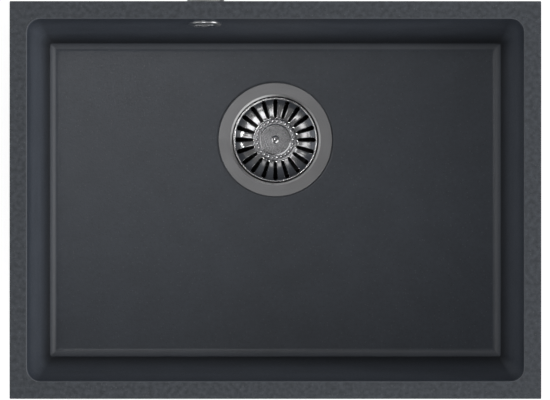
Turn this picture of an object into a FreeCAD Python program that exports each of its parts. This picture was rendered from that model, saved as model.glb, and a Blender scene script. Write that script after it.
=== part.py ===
import FreeCAD, Part
import math
import os
import re

import Sketcher

# Kitchen sink: an undermount bowl, its basket strainer and its overflow.
# Millimetres, +Z up, +Y to the rear wall, +X to the right.
# Z = 0 is the top of the rim, and the origin is the centre of the bowl's opening.

SIZES = {
    # Bowl
    "rim_end": 16.75,
    "rim_side": 17.0,
    "rim_thick": 10.0,
    "rim_corner": 1.0,
    "open_length": 476.5,
    "open_width": 347.5,
    "open_corner": 13.0,
    "open_edge": 1.2,
    "open_clear": 2.0,
    "floor_length": 451.0,
    "floor_width": 313.0,
    "floor_corner": 3.0,
    "floor_bend": 8.0,
    "bowl_depth": 200.0,
    "wall_thick": 8.0,
    "floor_thick": 10.0,
    "under_bend": 6.0,
    # Waste cup in the floor
    "drain_back": 60.5,
    "drain_gap": 0.65,
    "flange_width": 11.8,
    "flange_gap": 1.2,
    "flange_sink": 0.1,
    "sheet_thick": 1.2,
    "cup_straight": 10.0,
    "cup_taper": 5.0,
    "cup_depth": 36.8,
    "cup_bend": 4.0,
    "way_inner": 13.0,
    "way_margin": 4.0,
    "way_count": 5.0,
    "way_turn": 50.0,
    "bolt_play": 0.5,
    "seal_thick": 1.5,
    "seal_inset": 0.5,
    # Pot under the floor
    "collar_reach": 8.0,
    "collar_thick": 5.0,
    "body_seal_thick": 2.5,
    "pot_radius": 46.0,
    "pot_clear": 0.8,
    "pot_wall": 3.0,
    "pot_depth": 64.0,
    "cone_drop": 16.0,
    "outlet_radius": 23.9,
    "outlet_wall": 3.5,
    "outlet_length": 28.0,
    "hub_radius": 11.0,
    "hub_drop": 44.0,
    "hub_length": 18.0,
    "spoke_count": 3.0,
    "spoke_root": 1.0,
    "spoke_width": 3.5,
    "spoke_height": 13.0,
    "insert_radius": 8.5,
    "insert_length": 15.0,
    "inlet_drop": 50.0,
    "inlet_root": 0.5,
    "inlet_reach": 78.0,
    # Hollow bolt
    "bolt_radius": 6.0,
    "bolt_bore": 4.2,
    "bolt_head": 10.5,
    "bolt_head_thick": 3.0,
    "bolt_length": 27.0,
    "driver_width": 2.0,
    "driver_deep": 1.5,
    "driver_arms": 4.0,
    # Strainer
    "basket_play": 1.6,
    "basket_land": 1.2,
    "basket_sheet": 1.0,
    "basket_sink": 0.8,
    "basket_skirt": 5.0,
    "dish_depth": 10.0,
    "dish_flat": 14.0,
    "slot_count": 20.0,
    "slot_inner": 22.0,
    "slot_margin": 0.75,
    "slot_inner_width": 3.0,
    "slot_outer_width": 4.5,
    "knob_radius": 21.1,
    "knob_top": 3.4,
    "knob_thick": 3.0,
    "knob_neck": 9.0,
    "knob_edge": 0.6,
    "disc_radius": 15.7,
    "disc_thick": 1.2,
    "disc_proud": 0.5,
    "rivet_radius": 4.3,
    "rivet_height": 1.8,
    "rivet_shank": 2.0,
    "rivet_length": 3.4,
    "stud_cover": 1.0,
    "pin_shoulder": 5.0,
    "pin_stud": 3.0,
    "pin_radius": 3.4,
    "pin_groove": 2.6,
    "pin_reach": 20.0,
    "ring_drop": 14.0,
    "ring_height": 2.0,
    "plate_margin": 1.5,
    "plate_thick": 1.5,
    "basket_seal_margin": 7.0,
    "basket_seal_hole": 11.5,
    "basket_seal_thick": 3.0,
    # Overflow
    "overflow_side": 68.0,
    "overflow_drop": 38.0,
    "overflow_hole": 13.0,
    "cover_radius": 16.0,
    "cover_height": 2.2,
    "cover_edge": 1.0,
    "cover_mouth": 9.5,
    "cover_wall": 1.2,
    "cover_recess": 3.0,
    "cover_holes": 6.0,
    "cover_hole": 1.9,
    "cover_hole_ring": 6.6,
    "screw_radius": 2.5,
    "screw_head": 4.2,
    "screw_head_thick": 2.2,
    "screw_length": 21.0,
    "cross_reach": 2.6,
    "cross_width": 0.9,
    "cross_deep": 0.7,
    "cross_arms": 4.0,
    "overflow_seal_inner": 14.0,
    "overflow_seal_outer": 21.0,
    "overflow_seal_thick": 2.0,
    "elbow_flange": 22.0,
    "elbow_flange_thick": 3.0,
    "elbow_radius": 14.0,
    "elbow_bore": 11.5,
    "elbow_back": 2.5,
    "elbow_bend": 2.0,
    "elbow_mouth": 36.0,
    "elbow_stand": 0.8,
    "boss_radius": 5.6,
    "boss_front": 5.0,
    "overflow_insert_radius": 3.9,
    "overflow_insert_length": 10.0,
    # Hose and its unions
    "hose_crest": 11.0,
    "hose_valley": 9.7,
    "hose_cuff": 10.0,
    "hose_bore": 8.8,
    "hose_straight": 12.7,
    "hose_in": 17.0,
    "cuff_free": 8.0,
    "rib_pitch": 3.6,
    "socket_radius": 13.5,
    "socket_bore": 10.4,
    "socket_deep": 18.0,
    "cone_length": 4.0,
    "cone_tip": 12.0,
    "cone_gap": 0.1,
    "nut_radius": 16.6,
    "nut_reach": 12.0,
    "nut_lip": 2.0,
    "nut_mouth": 11.6,
    "nut_lugs": 12.0,
    "nut_lug_root": 1.0,
    "nut_lug_width": 3.0,
    "nut_lug_height": 1.4,
    # Clearances
    "fit_gap": 0.05,
    "running_gap": 0.06,
    "lift_gap": 0.3,
    "thread_gap": 0.15,
    # How far a cut runs past the face that it opens
    "cut_over": 1.0,
}

# Sizes that follow the pot's radius
FOLLOWERS = {
    "cup_radius": "pot_radius - pot_clear - sheet_thick",
    "drain_hole": "cup_radius + sheet_thick + drain_gap",
    "flange_radius": "cup_radius + sheet_thick + flange_width",
    "cup_foot": "cup_radius - cup_taper",
    "collar_radius": "pot_radius + pot_wall + collar_reach",
    "basket_radius": "cup_radius - basket_play",
    "basket_ring": "basket_radius - basket_land",
    "slot_outer": "basket_ring - slot_margin",
    "basket_seal_radius": "cup_foot - cup_bend - basket_seal_margin",
    "plate_radius": "basket_seal_radius - plate_margin",
    "way_outer": "basket_seal_radius - way_margin",
}
NAMES = {*SIZES, *FOLLOWERS}

# The wall's lean to the rear, and its thickness measured square to its face
LEAN = "atan((open_width - floor_width) / 2 / bowl_depth)"
WALL = "(wall_thick * cos(%s))" % LEAN

# Where the overflow's centre line meets the inside of the rear wall
OVERFLOW_Y = "(open_width / 2 - (open_width - floor_width) / 2 * overflow_drop / bowl_depth)"

# Places along the overflow's centre line, counted outwards from the inside of the wall
ELBOW_FRONT = "(%s + overflow_seal_thick)" % WALL
ELBOW_SHOULDER = "(%s + elbow_flange_thick)" % ELBOW_FRONT
SPOUT_Y = "(%s + elbow_stand + socket_radius)" % ELBOW_SHOULDER
ELBOW_REAR = "(%s + socket_radius + elbow_stand)" % SPOUT_Y
BOSS_FRONT = "(%s + boss_front)" % ELBOW_FRONT

# The elbow's mouth in the sink's own frame
UPPER_Y = "(%s + %s * cos(%s) - elbow_mouth * sin(%s))" % (OVERFLOW_Y, SPOUT_Y, LEAN, LEAN)
UPPER_Z = "(0 - overflow_drop - %s * sin(%s) - elbow_mouth * cos(%s))" % (SPOUT_Y, LEAN, LEAN)

# The hose leaves the elbow along the wall, and turns to the pot where it is as low as the inlet
HOSE_DROP = "((%s + bowl_depth + inlet_drop) / cos(%s))" % (UPPER_Z, LEAN)
TURN_Y = "(%s - %s * sin(%s))" % (UPPER_Y, HOSE_DROP, LEAN)
INLET_TURN = "(90 deg + atan(overflow_side / (%s - drain_back)))" % TURN_Y

# The corner of the hose's route from the drain's axis
TURN_REACH = "sqrt(overflow_side ^ 2 + (%s - drain_back) ^ 2)" % TURN_Y

# Depths under the floor's top
RECESS = "(flange_sink + sheet_thick + seal_thick)"
SEAL_TOP = "(cup_depth - lift_gap - basket_seal_thick)"
PLATE_TOP = "(%s - plate_thick)" % SEAL_TOP
DISC_SEAT = "(knob_top + disc_thick - disc_proud)"
RIVET_END = "(knob_top - disc_proud + rivet_length)"
STUD_TOP = "(%s + stud_cover)" % RIVET_END
DISH_CENTRE = ("(((basket_ring - dish_flat) ^ 2 + basket_sink ^ 2 - dish_depth ^ 2)"
               " / (2 * (dish_depth - basket_sink)))")
SKIRT_MEETS = ("(%s - sqrt((%s + dish_depth + basket_sheet) ^ 2"
               " - (basket_radius - basket_sheet - dish_flat) ^ 2))") % (DISH_CENTRE, DISH_CENTRE)
OUTLET_TOP = "(pot_depth + cone_drop)"

# The spokes stand clear of the inlet
SPOKE_TURN = "(%s + 180 deg / spoke_count)" % INLET_TURN

# The bowl's sizes from its middle
HALF_OPEN_X = "(open_length / 2)"
HALF_OPEN_Y = "(open_width / 2)"
HALF_RIM_X = "(open_length / 2 + rim_end)"
HALF_RIM_Y = "(open_width / 2 + rim_side)"
HALF_FLOOR_X = "(floor_length / 2)"
HALF_FLOOR_Y = "(floor_width / 2)"

# Where one rib's valley, crest and next valley start, as shares of the pitch, and what is level
RIB_SHARES = (0.0, 0.25, 0.5, 0.75)
LEVEL = 0.001


def cells(formula):
    """Write a formula with each size's name turned into its cell in the sheet."""
    return re.sub(r"[a-z]\w*", lambda word: "Sizes." * (word.group() in NAMES) + word.group(), formula)


def value(doc, formula):
    """Work a formula out with the sheet's present numbers."""
    return float(doc.getObject("Sizes").evalExpression(cells(formula)))


def make_sheet(doc):
    """Put the driving dimensions and their followers into a spreadsheet, one alias each."""
    sheet = doc.addObject("Spreadsheet::Sheet", "Sizes")
    entries = [(name, repr(number)) for name, number in SIZES.items()]
    entries += [(name, "=" + formula) for name, formula in FOLLOWERS.items()]
    for row, (name, entry) in enumerate(entries, start=1):
        sheet.set("A%d" % row, name)
        sheet.set("B%d" % row, entry)
        sheet.setAlias("B%d" % row, name)
    doc.recompute()


# Helpers for bodies, sketches and features

def new_body(doc, label):
    """Start a body that is named as its piece."""
    body = doc.addObject("PartDesign::Body", label)
    body.Label = label
    return body


def new_sketch(body, name, role, height=None, turn=None, rear=None):
    """Attach a sketch to one of the body's origin planes.

    It may be raised by a height, turned about +Z, or moved towards +Y from the XZ plane.
    """
    sketch = body.newObject("Sketcher::SketchObject", name)
    plane = next(item for item in body.Origin.OriginFeatures if item.Role == role)
    sketch.AttachmentSupport = (plane, [""])
    sketch.MapMode = "FlatFace"
    if turn:
        upright = FreeCAD.Rotation(FreeCAD.Vector(0, 1, 0), 1)
        sketch.AttachmentOffset = FreeCAD.Placement(FreeCAD.Vector(), upright)
        sketch.setExpression("AttachmentOffset.Rotation.Angle", cells(turn))
    if height:
        along = "y" if role == "XZ_Plane" else "z"
        sketch.setExpression("AttachmentOffset.Base." + along, cells(height))
    if rear:
        sketch.setExpression("AttachmentOffset.Base.z", cells("0 - (%s)" % rear))
    return sketch


def pin_point(sketch, edge, end, x, y):
    """Hold one point of a sketch at the place that two formulas give."""
    for kind, formula in (("DistanceX", x), ("DistanceY", y)):
        number = value(sketch.Document, formula)
        index = sketch.addConstraint(Sketcher.Constraint(kind, -1, 1, edge, end, number))
        sketch.setExpression("Constraints[%d]" % index, cells(formula))


def draw(sketch, corners, bends=None):
    """Draw a closed outline through the corners.

    bends maps the number of an edge to its arc's centre, with True or False
    after it where the arc is a half circle, for anticlockwise or clockwise.
    """
    bends = bends or {}
    doc = sketch.Document
    places = [FreeCAD.Vector(value(doc, x), value(doc, y), 0) for x, y in corners]
    first = sketch.GeometryCount
    starts = []
    for number, start in enumerate(places):
        end = places[(number + 1) % len(places)]
        if number not in bends:
            sketch.addGeometry(Part.LineSegment(start, end), False)
            starts.append((1, 2))
            continue
        centre = FreeCAD.Vector(value(doc, bends[number][0]), value(doc, bends[number][1]), 0)
        anticlockwise = (start - centre).cross(end - centre).z > 0
        if len(bends[number]) > 2:
            anticlockwise = bends[number][2]
        one, two = (start, end) if anticlockwise else (end, start)
        angles = [math.atan2(spot.y - centre.y, spot.x - centre.x) for spot in (one, two)]
        circle = Part.Circle(centre, FreeCAD.Vector(0, 0, 1), (start - centre).Length)
        sketch.addGeometry(Part.ArcOfCircle(circle, angles[0], angles[1]), False)
        starts.append((1, 2) if anticlockwise else (2, 1))
    for number, (begin, finish) in enumerate(starts):
        follower = (number + 1) % len(starts)
        pair = (first + number, finish, first + follower, starts[follower][0])
        sketch.addConstraint(Sketcher.Constraint("Coincident", *pair))
        pin_point(sketch, first + number, begin, *corners[number])
    for number, bend in bends.items():
        chord = places[(number + 1) % len(places)] - places[number]
        upright = abs(chord.y) > abs(chord.x)
        kind, formula = ("DistanceX", bend[0]) if upright else ("DistanceY", bend[1])
        constraint = Sketcher.Constraint(kind, -1, 1, first + number, 3, value(doc, formula))
        index = sketch.addConstraint(constraint)
        sketch.setExpression("Constraints[%d]" % index, cells(formula))


def draw_circle(sketch, radius, x="0", y="0"):
    """Draw a circle about a point."""
    doc = sketch.Document
    centre = FreeCAD.Vector(value(doc, x), value(doc, y), 0)
    edge = sketch.addGeometry(Part.Circle(centre, FreeCAD.Vector(0, 0, 1), value(doc, radius)), False)
    pin_point(sketch, edge, 3, x, y)
    index = sketch.addConstraint(Sketcher.Constraint("Radius", edge, value(doc, radius)))
    sketch.setExpression("Constraints[%d]" % index, cells(radius))


def box_corners(left, right, low, high):
    """Give the four corners of a rectangle."""
    return [(left, low), (right, low), (right, high), (left, high)]


def turned(body, name, corners, bends=None, role="XZ_Plane", axis="V_Axis", cut=False, **attach):
    """Turn an outline once round an axis of its sketch, as added or removed material."""
    sketch = new_sketch(body, name + "_outline", role, **attach)
    draw(sketch, corners, bends)
    feature = body.newObject("PartDesign::Groove" if cut else "PartDesign::Revolution", name)
    feature.Profile = sketch
    feature.ReferenceAxis = (sketch, [axis])
    feature.Angle = 360
    return feature


def padded(body, name, sketch, length, midplane=False):
    """Extrude a sketch by a length."""
    feature = body.newObject("PartDesign::Pad", name)
    feature.Profile = sketch
    feature.Midplane = midplane
    feature.setExpression("Length", cells(length))
    return feature


def pocketed(body, name, sketch, length=None, midplane=False):
    """Cut a sketch away below its plane, right through where no length is given."""
    feature = body.newObject("PartDesign::Pocket", name)
    feature.Profile = sketch
    feature.Midplane = midplane
    if length:
        feature.setExpression("Length", cells(length))
    else:
        feature.Type = "ThroughAll"
    return feature


def patterned(body, name, feature, count, axis="N_Axis"):
    """Repeat a feature round its sketch's origin."""
    pattern = body.newObject("PartDesign::PolarPattern", name)
    pattern.Originals = [feature]
    pattern.Axis = (feature.Profile[0], [axis])
    pattern.Angle = 360
    pattern.setExpression("Occurrences", cells(count))
    body.Tip = pattern
    return pattern


def ring(doc, label, inner, outer, low, high):
    """Make a flat ring between two radii and two heights."""
    body = new_body(doc, label)
    turned(body, label + "_turned", box_corners(inner, outer, low, high))
    return body


def seat_in_drain(item):
    """Place a piece on the drain's axis, with its Z counted from the floor's top."""
    item.setExpression("Placement.Base.y", cells("drain_back"))
    item.setExpression("Placement.Base.z", cells("0 - bowl_depth"))
    return item


def seat_on_wall(item):
    """Place a piece on the overflow's centre line, with its Y square to the rear wall."""
    item.Placement = FreeCAD.Placement(FreeCAD.Vector(), FreeCAD.Rotation(FreeCAD.Vector(1, 0, 0), -1))
    item.setExpression("Placement.Rotation.Angle", cells("0 deg - %s" % LEAN))
    item.setExpression("Placement.Base.x", cells("0 - overflow_side"))
    item.setExpression("Placement.Base.y", cells(OVERFLOW_Y))
    item.setExpression("Placement.Base.z", cells("0 - overflow_drop"))
    return item


def seat_at_elbow(item):
    """Place a union's piece at the elbow's mouth, with its Z along the hose."""
    item.Placement = FreeCAD.Placement(FreeCAD.Vector(), FreeCAD.Rotation(FreeCAD.Vector(1, 0, 0), 1))
    item.setExpression("Placement.Rotation.Angle", cells("180 deg - %s" % LEAN))
    item.setExpression("Placement.Base.x", cells("0 - overflow_side"))
    item.setExpression("Placement.Base.y", cells(UPPER_Y))
    item.setExpression("Placement.Base.z", cells(UPPER_Z))
    return item


def seat_at_inlet(item):
    """Place a union's piece at the pot's inlet, with its Z along the hose."""
    turn = value(item.Document, INLET_TURN)
    to_side = FreeCAD.Rotation(FreeCAD.Vector(0, 1, 0), 90)
    item.Placement = FreeCAD.Placement(
        FreeCAD.Vector(), FreeCAD.Rotation(FreeCAD.Vector(0, 0, 1), turn).multiply(to_side))
    item.setExpression("Placement.Base.x", cells("inlet_reach * cos(%s)" % INLET_TURN))
    item.setExpression("Placement.Base.y", cells("drain_back + inlet_reach * sin(%s)" % INLET_TURN))
    item.setExpression("Placement.Base.z", cells("0 - bowl_depth - inlet_drop"))
    return item


# The bowl

def rounded_rectangle(sketch, half_x, half_y, radius):
    """Draw a rectangle about the sketch's origin with round corners."""
    corners = []
    bends = {}
    for number, (side_x, side_y) in enumerate(((1, 1), (-1, 1), (-1, -1), (1, -1))):
        outer = ("%d * %s" % (side_x, half_x), "%d * (%s - %s)" % (side_y, half_y, radius))
        inner = ("%d * (%s - %s)" % (side_x, half_x, radius), "%d * %s" % (side_y, half_y))
        corners += [outer, inner] if side_x == side_y else [inner, outer]
        centre = ("%d * (%s - %s)" % (side_x, half_x, radius), "%d * (%s - %s)" % (side_y, half_y, radius))
        bends[2 * number] = centre
    draw(sketch, corners, bends)


def lofted(body, name, sections):
    """Join rounded rectangles at several heights into one drafted block."""
    sketches = []
    for number, (height, half_x, half_y, radius) in enumerate(sections):
        sketch = new_sketch(body, "%s_%d" % (name, number), "XY_Plane", height=height)
        rounded_rectangle(sketch, half_x, half_y, radius)
        sketches.append(sketch)
    loft = body.newObject("PartDesign::AdditiveLoft", name)
    loft.Profile = sketches[0]
    loft.Sections = sketches[1:]
    loft.Ruled = True
    return loft


def at_depth(top, bottom, depth):
    """Follow a wall's slope from its size at the rim to its size at the floor."""
    return "(%s + (%s - %s) * (%s) / bowl_depth)" % (top, bottom, top, depth)


def make_bowl_block(doc):
    """Make the bowl's outside: the flat rim and the drafted tub under it."""
    body = new_body(doc, "bowl_block")
    corner = "(open_corner + wall_thick)"
    foot = "(floor_corner + wall_thick)"
    lofted(body, "tub", [(
        "0 - (%s)" % depth,
        "(%s + wall_thick)" % at_depth(HALF_OPEN_X, HALF_FLOOR_X, depth),
        "(%s + wall_thick)" % at_depth(HALF_OPEN_Y, HALF_FLOOR_Y, depth),
        at_depth(corner, foot, depth),
    ) for depth in ("rim_thick / 2", "bowl_depth + floor_thick")])
    sketch = new_sketch(body, "rim_outline", "XY_Plane", height="0 - rim_thick")
    rounded_rectangle(sketch, HALF_RIM_X, HALF_RIM_Y, "rim_corner")
    padded(body, "rim", sketch, "rim_thick")
    return body


def cavity_slab(doc, label, role, half_open, half_floor, across):
    """Make the hollow as seen from one side: drafted walls that bend into the floor."""
    body = new_body(doc, label)
    sketch = new_sketch(body, label + "_outline", role)
    run = "((%s - %s) / bowl_depth)" % (half_open, half_floor)
    # A bend between wall and floor starts this far from the sharp corner
    reach = "(floor_bend * (sqrt(1 + %s ^ 2) - %s))" % (run, run)
    side_x = "(%s + %s * %s / sqrt(1 + %s ^ 2))" % (half_floor, reach, run, run)
    side_y = "(%s / sqrt(1 + %s ^ 2) - bowl_depth)" % (reach, run)
    top_x = "(%s + %s * open_clear)" % (half_open, run)
    flat_x = "(%s - %s)" % (half_floor, reach)
    corners = [
        (flat_x, "0 - bowl_depth"), (side_x, side_y), (top_x, "open_clear"),
        ("0 - " + top_x, "open_clear"), ("0 - " + side_x, side_y), ("0 - " + flat_x, "0 - bowl_depth"),
    ]
    bends = {0: (flat_x, "floor_bend - bowl_depth"), 4: ("0 - " + flat_x, "floor_bend - bowl_depth")}
    draw(sketch, corners, bends)
    padded(body, label + "_pad", sketch, across, midplane=True)
    return body


def make_bowl_hollow(doc):
    """Make the space inside the bowl: its bends meet in mitres and its upright corners are round."""
    long_way = cavity_slab(doc, "hollow_long", "XZ_Plane", HALF_OPEN_X, HALF_FLOOR_X, "2 * " + HALF_RIM_Y)
    cross_way = cavity_slab(doc, "hollow_cross", "YZ_Plane", HALF_OPEN_Y, HALF_FLOOR_Y, "2 * " + HALF_RIM_X)
    corners = new_body(doc, "hollow_corners")
    lofted(corners, "hollow_loft", [
        ("open_clear", at_depth(HALF_OPEN_X, HALF_FLOOR_X, "0 - open_clear"),
         at_depth(HALF_OPEN_Y, HALF_FLOOR_Y, "0 - open_clear"),
         at_depth("open_corner", "floor_corner", "0 - open_clear")),
        ("0 - bowl_depth", HALF_FLOOR_X, HALF_FLOOR_Y, "floor_corner"),
    ])
    hollow = doc.addObject("Part::MultiCommon", "bowl_hollow")
    hollow.Shapes = [long_way, cross_way, corners]
    return hollow


def make_bowl_holes(doc):
    """Make the drain's hole with its recess, and the overflow's hole."""
    drain = new_body(doc, "drain_cut")
    under = "0 - floor_thick - cut_over"
    turned(drain, "drain_cut_turned", [
        ("0", under), ("drain_hole", under),
        ("drain_hole", "0 - %s" % RECESS), ("flange_radius + flange_gap", "0 - %s" % RECESS),
        ("flange_radius + flange_gap", "cut_over"), ("0", "cut_over"),
    ])
    seat_in_drain(drain)
    overflow = new_body(doc, "overflow_cut")
    turned(overflow, "overflow_cut_turned", box_corners(
        "0", "overflow_hole", "0 - wall_thick", "2 * wall_thick"), role="XY_Plane")
    seat_on_wall(overflow)
    return [drain, overflow]


def edges_where(shape, test):
    """List the numbers of the edges whose points all pass a test."""
    chosen = []
    for number, edge in enumerate(shape.Edges, start=1):
        middle = edge.valueAt((edge.FirstParameter + edge.LastParameter) / 2)
        if all(test(spot) for spot in [middle] + [vertex.Point for vertex in edge.Vertexes]):
            chosen.append(number)
    return chosen


def make_bowl(doc):
    """Make the bowl: block less hollow and holes, with its edges rounded."""
    block = make_bowl_block(doc)
    tools = doc.addObject("Part::MultiFuse", "bowl_tools")
    tools.Shapes = [make_bowl_hollow(doc)] + make_bowl_holes(doc)
    raw = doc.addObject("Part::Cut", "bowl_raw")
    raw.Base = block
    raw.Tool = tools
    doc.recompute()
    half_x = value(doc, HALF_OPEN_X)
    half_y = value(doc, HALF_OPEN_Y)
    under = value(doc, "0 - bowl_depth - floor_thick")
    drain_y = value(doc, "drain_back")
    drain_r = value(doc, "drain_hole + cut_over")
    reach = value(doc, "open_edge")

    def at_opening(spot):
        return abs(spot.z) < LEVEL and abs(spot.x) < half_x + reach and abs(spot.y) < half_y + reach

    def at_foot(spot):
        return abs(spot.z - under) < LEVEL and math.hypot(spot.x, spot.y - drain_y) > drain_r

    rounds = [(number, value(doc, "open_edge")) for number in edges_where(raw.Shape, at_opening)]
    rounds += [(number, value(doc, "under_bend")) for number in edges_where(raw.Shape, at_foot)]
    bowl = doc.addObject("Part::Fillet", "bowl")
    bowl.Label = "bowl"
    bowl.Base = raw
    bowl.Edges = [(number, radius, radius) for number, radius in rounds]
    return bowl


# The waste

def make_waste_flange(doc):
    """Make the pressed flange and cup, with the water's ways through its bottom."""
    body = new_body(doc, "waste_flange")
    wall = "(cup_radius + sheet_thick)"
    ledge = "0 - flange_sink - sheet_thick"
    foot = "(cup_foot - cup_bend)"
    low = "0 - cup_depth - sheet_thick"
    turned(body, "flange_turned", [
        ("flange_radius", "0 - flange_sink"), ("flange_radius", ledge), (wall, ledge),
        (wall, "0 - cup_straight"), ("cup_foot + sheet_thick", "cup_bend - cup_depth"), (foot, low),
        ("bolt_radius + bolt_play", low), ("bolt_radius + bolt_play", "0 - cup_depth"),
        (foot, "0 - cup_depth"), ("cup_foot", "cup_bend - cup_depth"), ("cup_radius", "0 - cup_straight"),
        ("cup_radius", ledge), (wall, "0 - flange_sink"),
    ], {4: (foot, "cup_bend - cup_depth"), 8: (foot, "cup_bend - cup_depth"), 11: (wall, ledge)})
    sketch = new_sketch(body, "way_outline", "XY_Plane")
    across = ["(%s * cos(way_turn / 2))" % size for size in ("way_inner", "way_outer")]
    aside = ["(%s * sin(way_turn / 2))" % size for size in ("way_inner", "way_outer")]
    draw(sketch, [
        (across[0], "0 - " + aside[0]), (across[1], "0 - " + aside[1]),
        (across[1], aside[1]), (across[0], aside[0]),
    ], {1: ("0", "0"), 3: ("0", "0")})
    patterned(body, "ways", pocketed(body, "way", sketch), "way_count")
    return seat_in_drain(body)


def make_waste_seals(doc):
    """Make the flat rings above and below the floor."""
    top = "0 - flange_sink - sheet_thick"
    upper = ring(doc, "flange_seal", "drain_hole + seal_inset", "flange_radius - seal_inset",
                 "%s - seal_thick" % top, top)
    lower = ring(doc, "body_seal", "pot_radius + seal_inset", "collar_radius - seal_inset",
                 "0 - floor_thick - body_seal_thick", "0 - floor_thick")
    return [seat_in_drain(upper), seat_in_drain(lower)]


def make_waste_body(doc):
    """Make the pot with its collar, spider, overflow inlet and outlet spigot."""
    body = new_body(doc, "waste_body")
    top = "0 - floor_thick - body_seal_thick"
    shelf = "%s - collar_thick" % top
    outer = "pot_radius + pot_wall"
    bore = "(outlet_radius - outlet_wall)"
    end = "0 - %s - outlet_length" % OUTLET_TOP
    turned(body, "pot", [
        ("pot_radius", top), ("collar_radius", top), ("collar_radius", shelf), (outer, shelf),
        (outer, "0 - pot_depth"), ("outlet_radius", "0 - " + OUTLET_TOP), ("outlet_radius", end),
        (bore, end), (bore, "0 - " + OUTLET_TOP), ("pot_radius", "0 - pot_depth"),
    ])
    under_hub = "0 - hub_drop - hub_length"
    spoke = new_sketch(body, "spoke_outline", "XY_Plane", height=under_hub)
    draw(spoke, [
        ("(hub_radius - spoke_root) * cos({0}) - spoke_width / 2 * sin({0})".format(SPOKE_TURN),
         "(hub_radius - spoke_root) * sin({0}) + spoke_width / 2 * cos({0})".format(SPOKE_TURN)),
        ("(pot_radius + pot_wall / 2) * cos({0}) - spoke_width / 2 * sin({0})".format(SPOKE_TURN),
         "(pot_radius + pot_wall / 2) * sin({0}) + spoke_width / 2 * cos({0})".format(SPOKE_TURN)),
        ("(pot_radius + pot_wall / 2) * cos({0}) + spoke_width / 2 * sin({0})".format(SPOKE_TURN),
         "(pot_radius + pot_wall / 2) * sin({0}) - spoke_width / 2 * cos({0})".format(SPOKE_TURN)),
        ("(hub_radius - spoke_root) * cos({0}) + spoke_width / 2 * sin({0})".format(SPOKE_TURN),
         "(hub_radius - spoke_root) * sin({0}) - spoke_width / 2 * cos({0})".format(SPOKE_TURN)),
    ])
    patterned(body, "spokes", padded(body, "spoke", spoke, "spoke_height"), "spoke_count")
    turned(body, "hub", box_corners("bolt_radius + bolt_play", "hub_radius", under_hub, "0 - hub_drop"))
    turned(body, "insert_seat", box_corners(
        "bolt_radius", "insert_radius + fit_gap", "0 - hub_drop - insert_length", "cut_over - hub_drop"),
        cut=True)
    branch = {"height": "0 - inlet_drop", "turn": INLET_TURN, "axis": "H_Axis"}
    pipe = box_corners("pot_radius + inlet_root", "inlet_reach", "0", "socket_radius")
    turned(body, "inlet", pipe, **branch)
    turned(body, "inlet_bore", [
        ("pot_radius - pot_wall", "0"), ("inlet_reach + cut_over", "0"),
        ("inlet_reach + cut_over", "socket_bore"),
        ("inlet_reach - socket_deep", "socket_bore"), ("inlet_reach - socket_deep", "hose_bore"),
        ("pot_radius - pot_wall", "hose_bore"),
    ], cut=True, **branch)
    return seat_in_drain(body)


def make_body_insert(doc):
    """Make the brass insert in the spider's hub."""
    return seat_in_drain(ring(doc, "body_insert", "bolt_radius + fit_gap", "insert_radius",
                              "0 - hub_drop - insert_length", "0 - hub_drop"))


def make_clamp_bolt(doc):
    """Make the hollow bolt that pulls the cup and the pot together."""
    body = new_body(doc, "clamp_bolt")
    end = "0 - cup_depth - bolt_length"
    turned(body, "bolt_turned", [
        ("bolt_bore", end), ("bolt_radius", end), ("bolt_radius", "0 - cup_depth"),
        ("bolt_head", "0 - cup_depth"), ("bolt_head", "bolt_head_thick - cup_depth"),
        ("bolt_bore", "bolt_head_thick - cup_depth"),
    ])
    sketch = new_sketch(body, "driver_outline", "XY_Plane", height="bolt_head_thick - cup_depth")
    reach = "(bolt_head + cut_over)"
    draw(sketch, box_corners("0 - " + reach, reach, "0 - driver_width / 2", "driver_width / 2"))
    patterned(body, "driver_cross", pocketed(body, "driver_slot", sketch, "driver_deep"), "driver_arms")
    return seat_in_drain(body)


# The strainer

def make_basket(doc):
    """Make the dished strainer with its rim, skirt and radial slots."""
    body = new_body(doc, "basket")
    centre = ("dish_flat", DISH_CENTRE)
    inside = "(basket_radius - basket_sheet)"
    skirt = "0 - basket_sink - basket_skirt"
    hole = "pin_stud + fit_gap"
    turned(body, "dish", [
        ("basket_ring", "0 - basket_sink"), ("basket_radius", "0 - basket_sink"),
        ("basket_radius", skirt), (inside, skirt), (inside, SKIRT_MEETS),
        ("dish_flat", "0 - dish_depth - basket_sheet"), (hole, "0 - dish_depth - basket_sheet"),
        (hole, "0 - dish_depth"), ("dish_flat", "0 - dish_depth"),
    ], {4: centre, 8: centre})
    sketch = new_sketch(body, "slot_outline", "XY_Plane")
    inner = ("slot_inner + slot_inner_width / 2", "slot_inner_width / 2")
    outer = ("slot_outer - slot_outer_width / 2", "slot_outer_width / 2")
    draw(sketch, [
        (inner[0], "0 - " + inner[1]), (outer[0], "0 - " + outer[1]), outer, inner,
    ], {1: (outer[0], "0", True), 3: (inner[0], "0", True)})
    patterned(body, "slots", pocketed(body, "slot", sketch), "slot_count")
    return seat_in_drain(body)


def make_knob(doc):
    """Make the round pull, with its neck, the seat for the disc and the holes for rivet and pin."""
    body = new_body(doc, "knob")
    rivet = "rivet_shank + fit_gap"
    stud = "pin_stud + fit_gap"
    disc = "disc_radius + fit_gap"
    rivet_floor = "0 - %s - fit_gap" % RIVET_END
    turned(body, "knob_turned", [
        ("0", rivet_floor), (rivet, rivet_floor), (rivet, "0 - " + DISC_SEAT), (disc, "0 - " + DISC_SEAT),
        (disc, "0 - knob_top"), ("knob_radius - knob_edge", "0 - knob_top"),
        ("knob_radius", "0 - knob_top - knob_edge"), ("knob_radius", "0 - knob_top - knob_thick"),
        ("knob_neck", "0 - knob_top - knob_thick"), ("knob_neck", "0 - dish_depth"),
        (stud, "0 - dish_depth"), (stud, "0 - " + STUD_TOP), ("0", "0 - " + STUD_TOP),
    ])
    return seat_in_drain(body)


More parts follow.
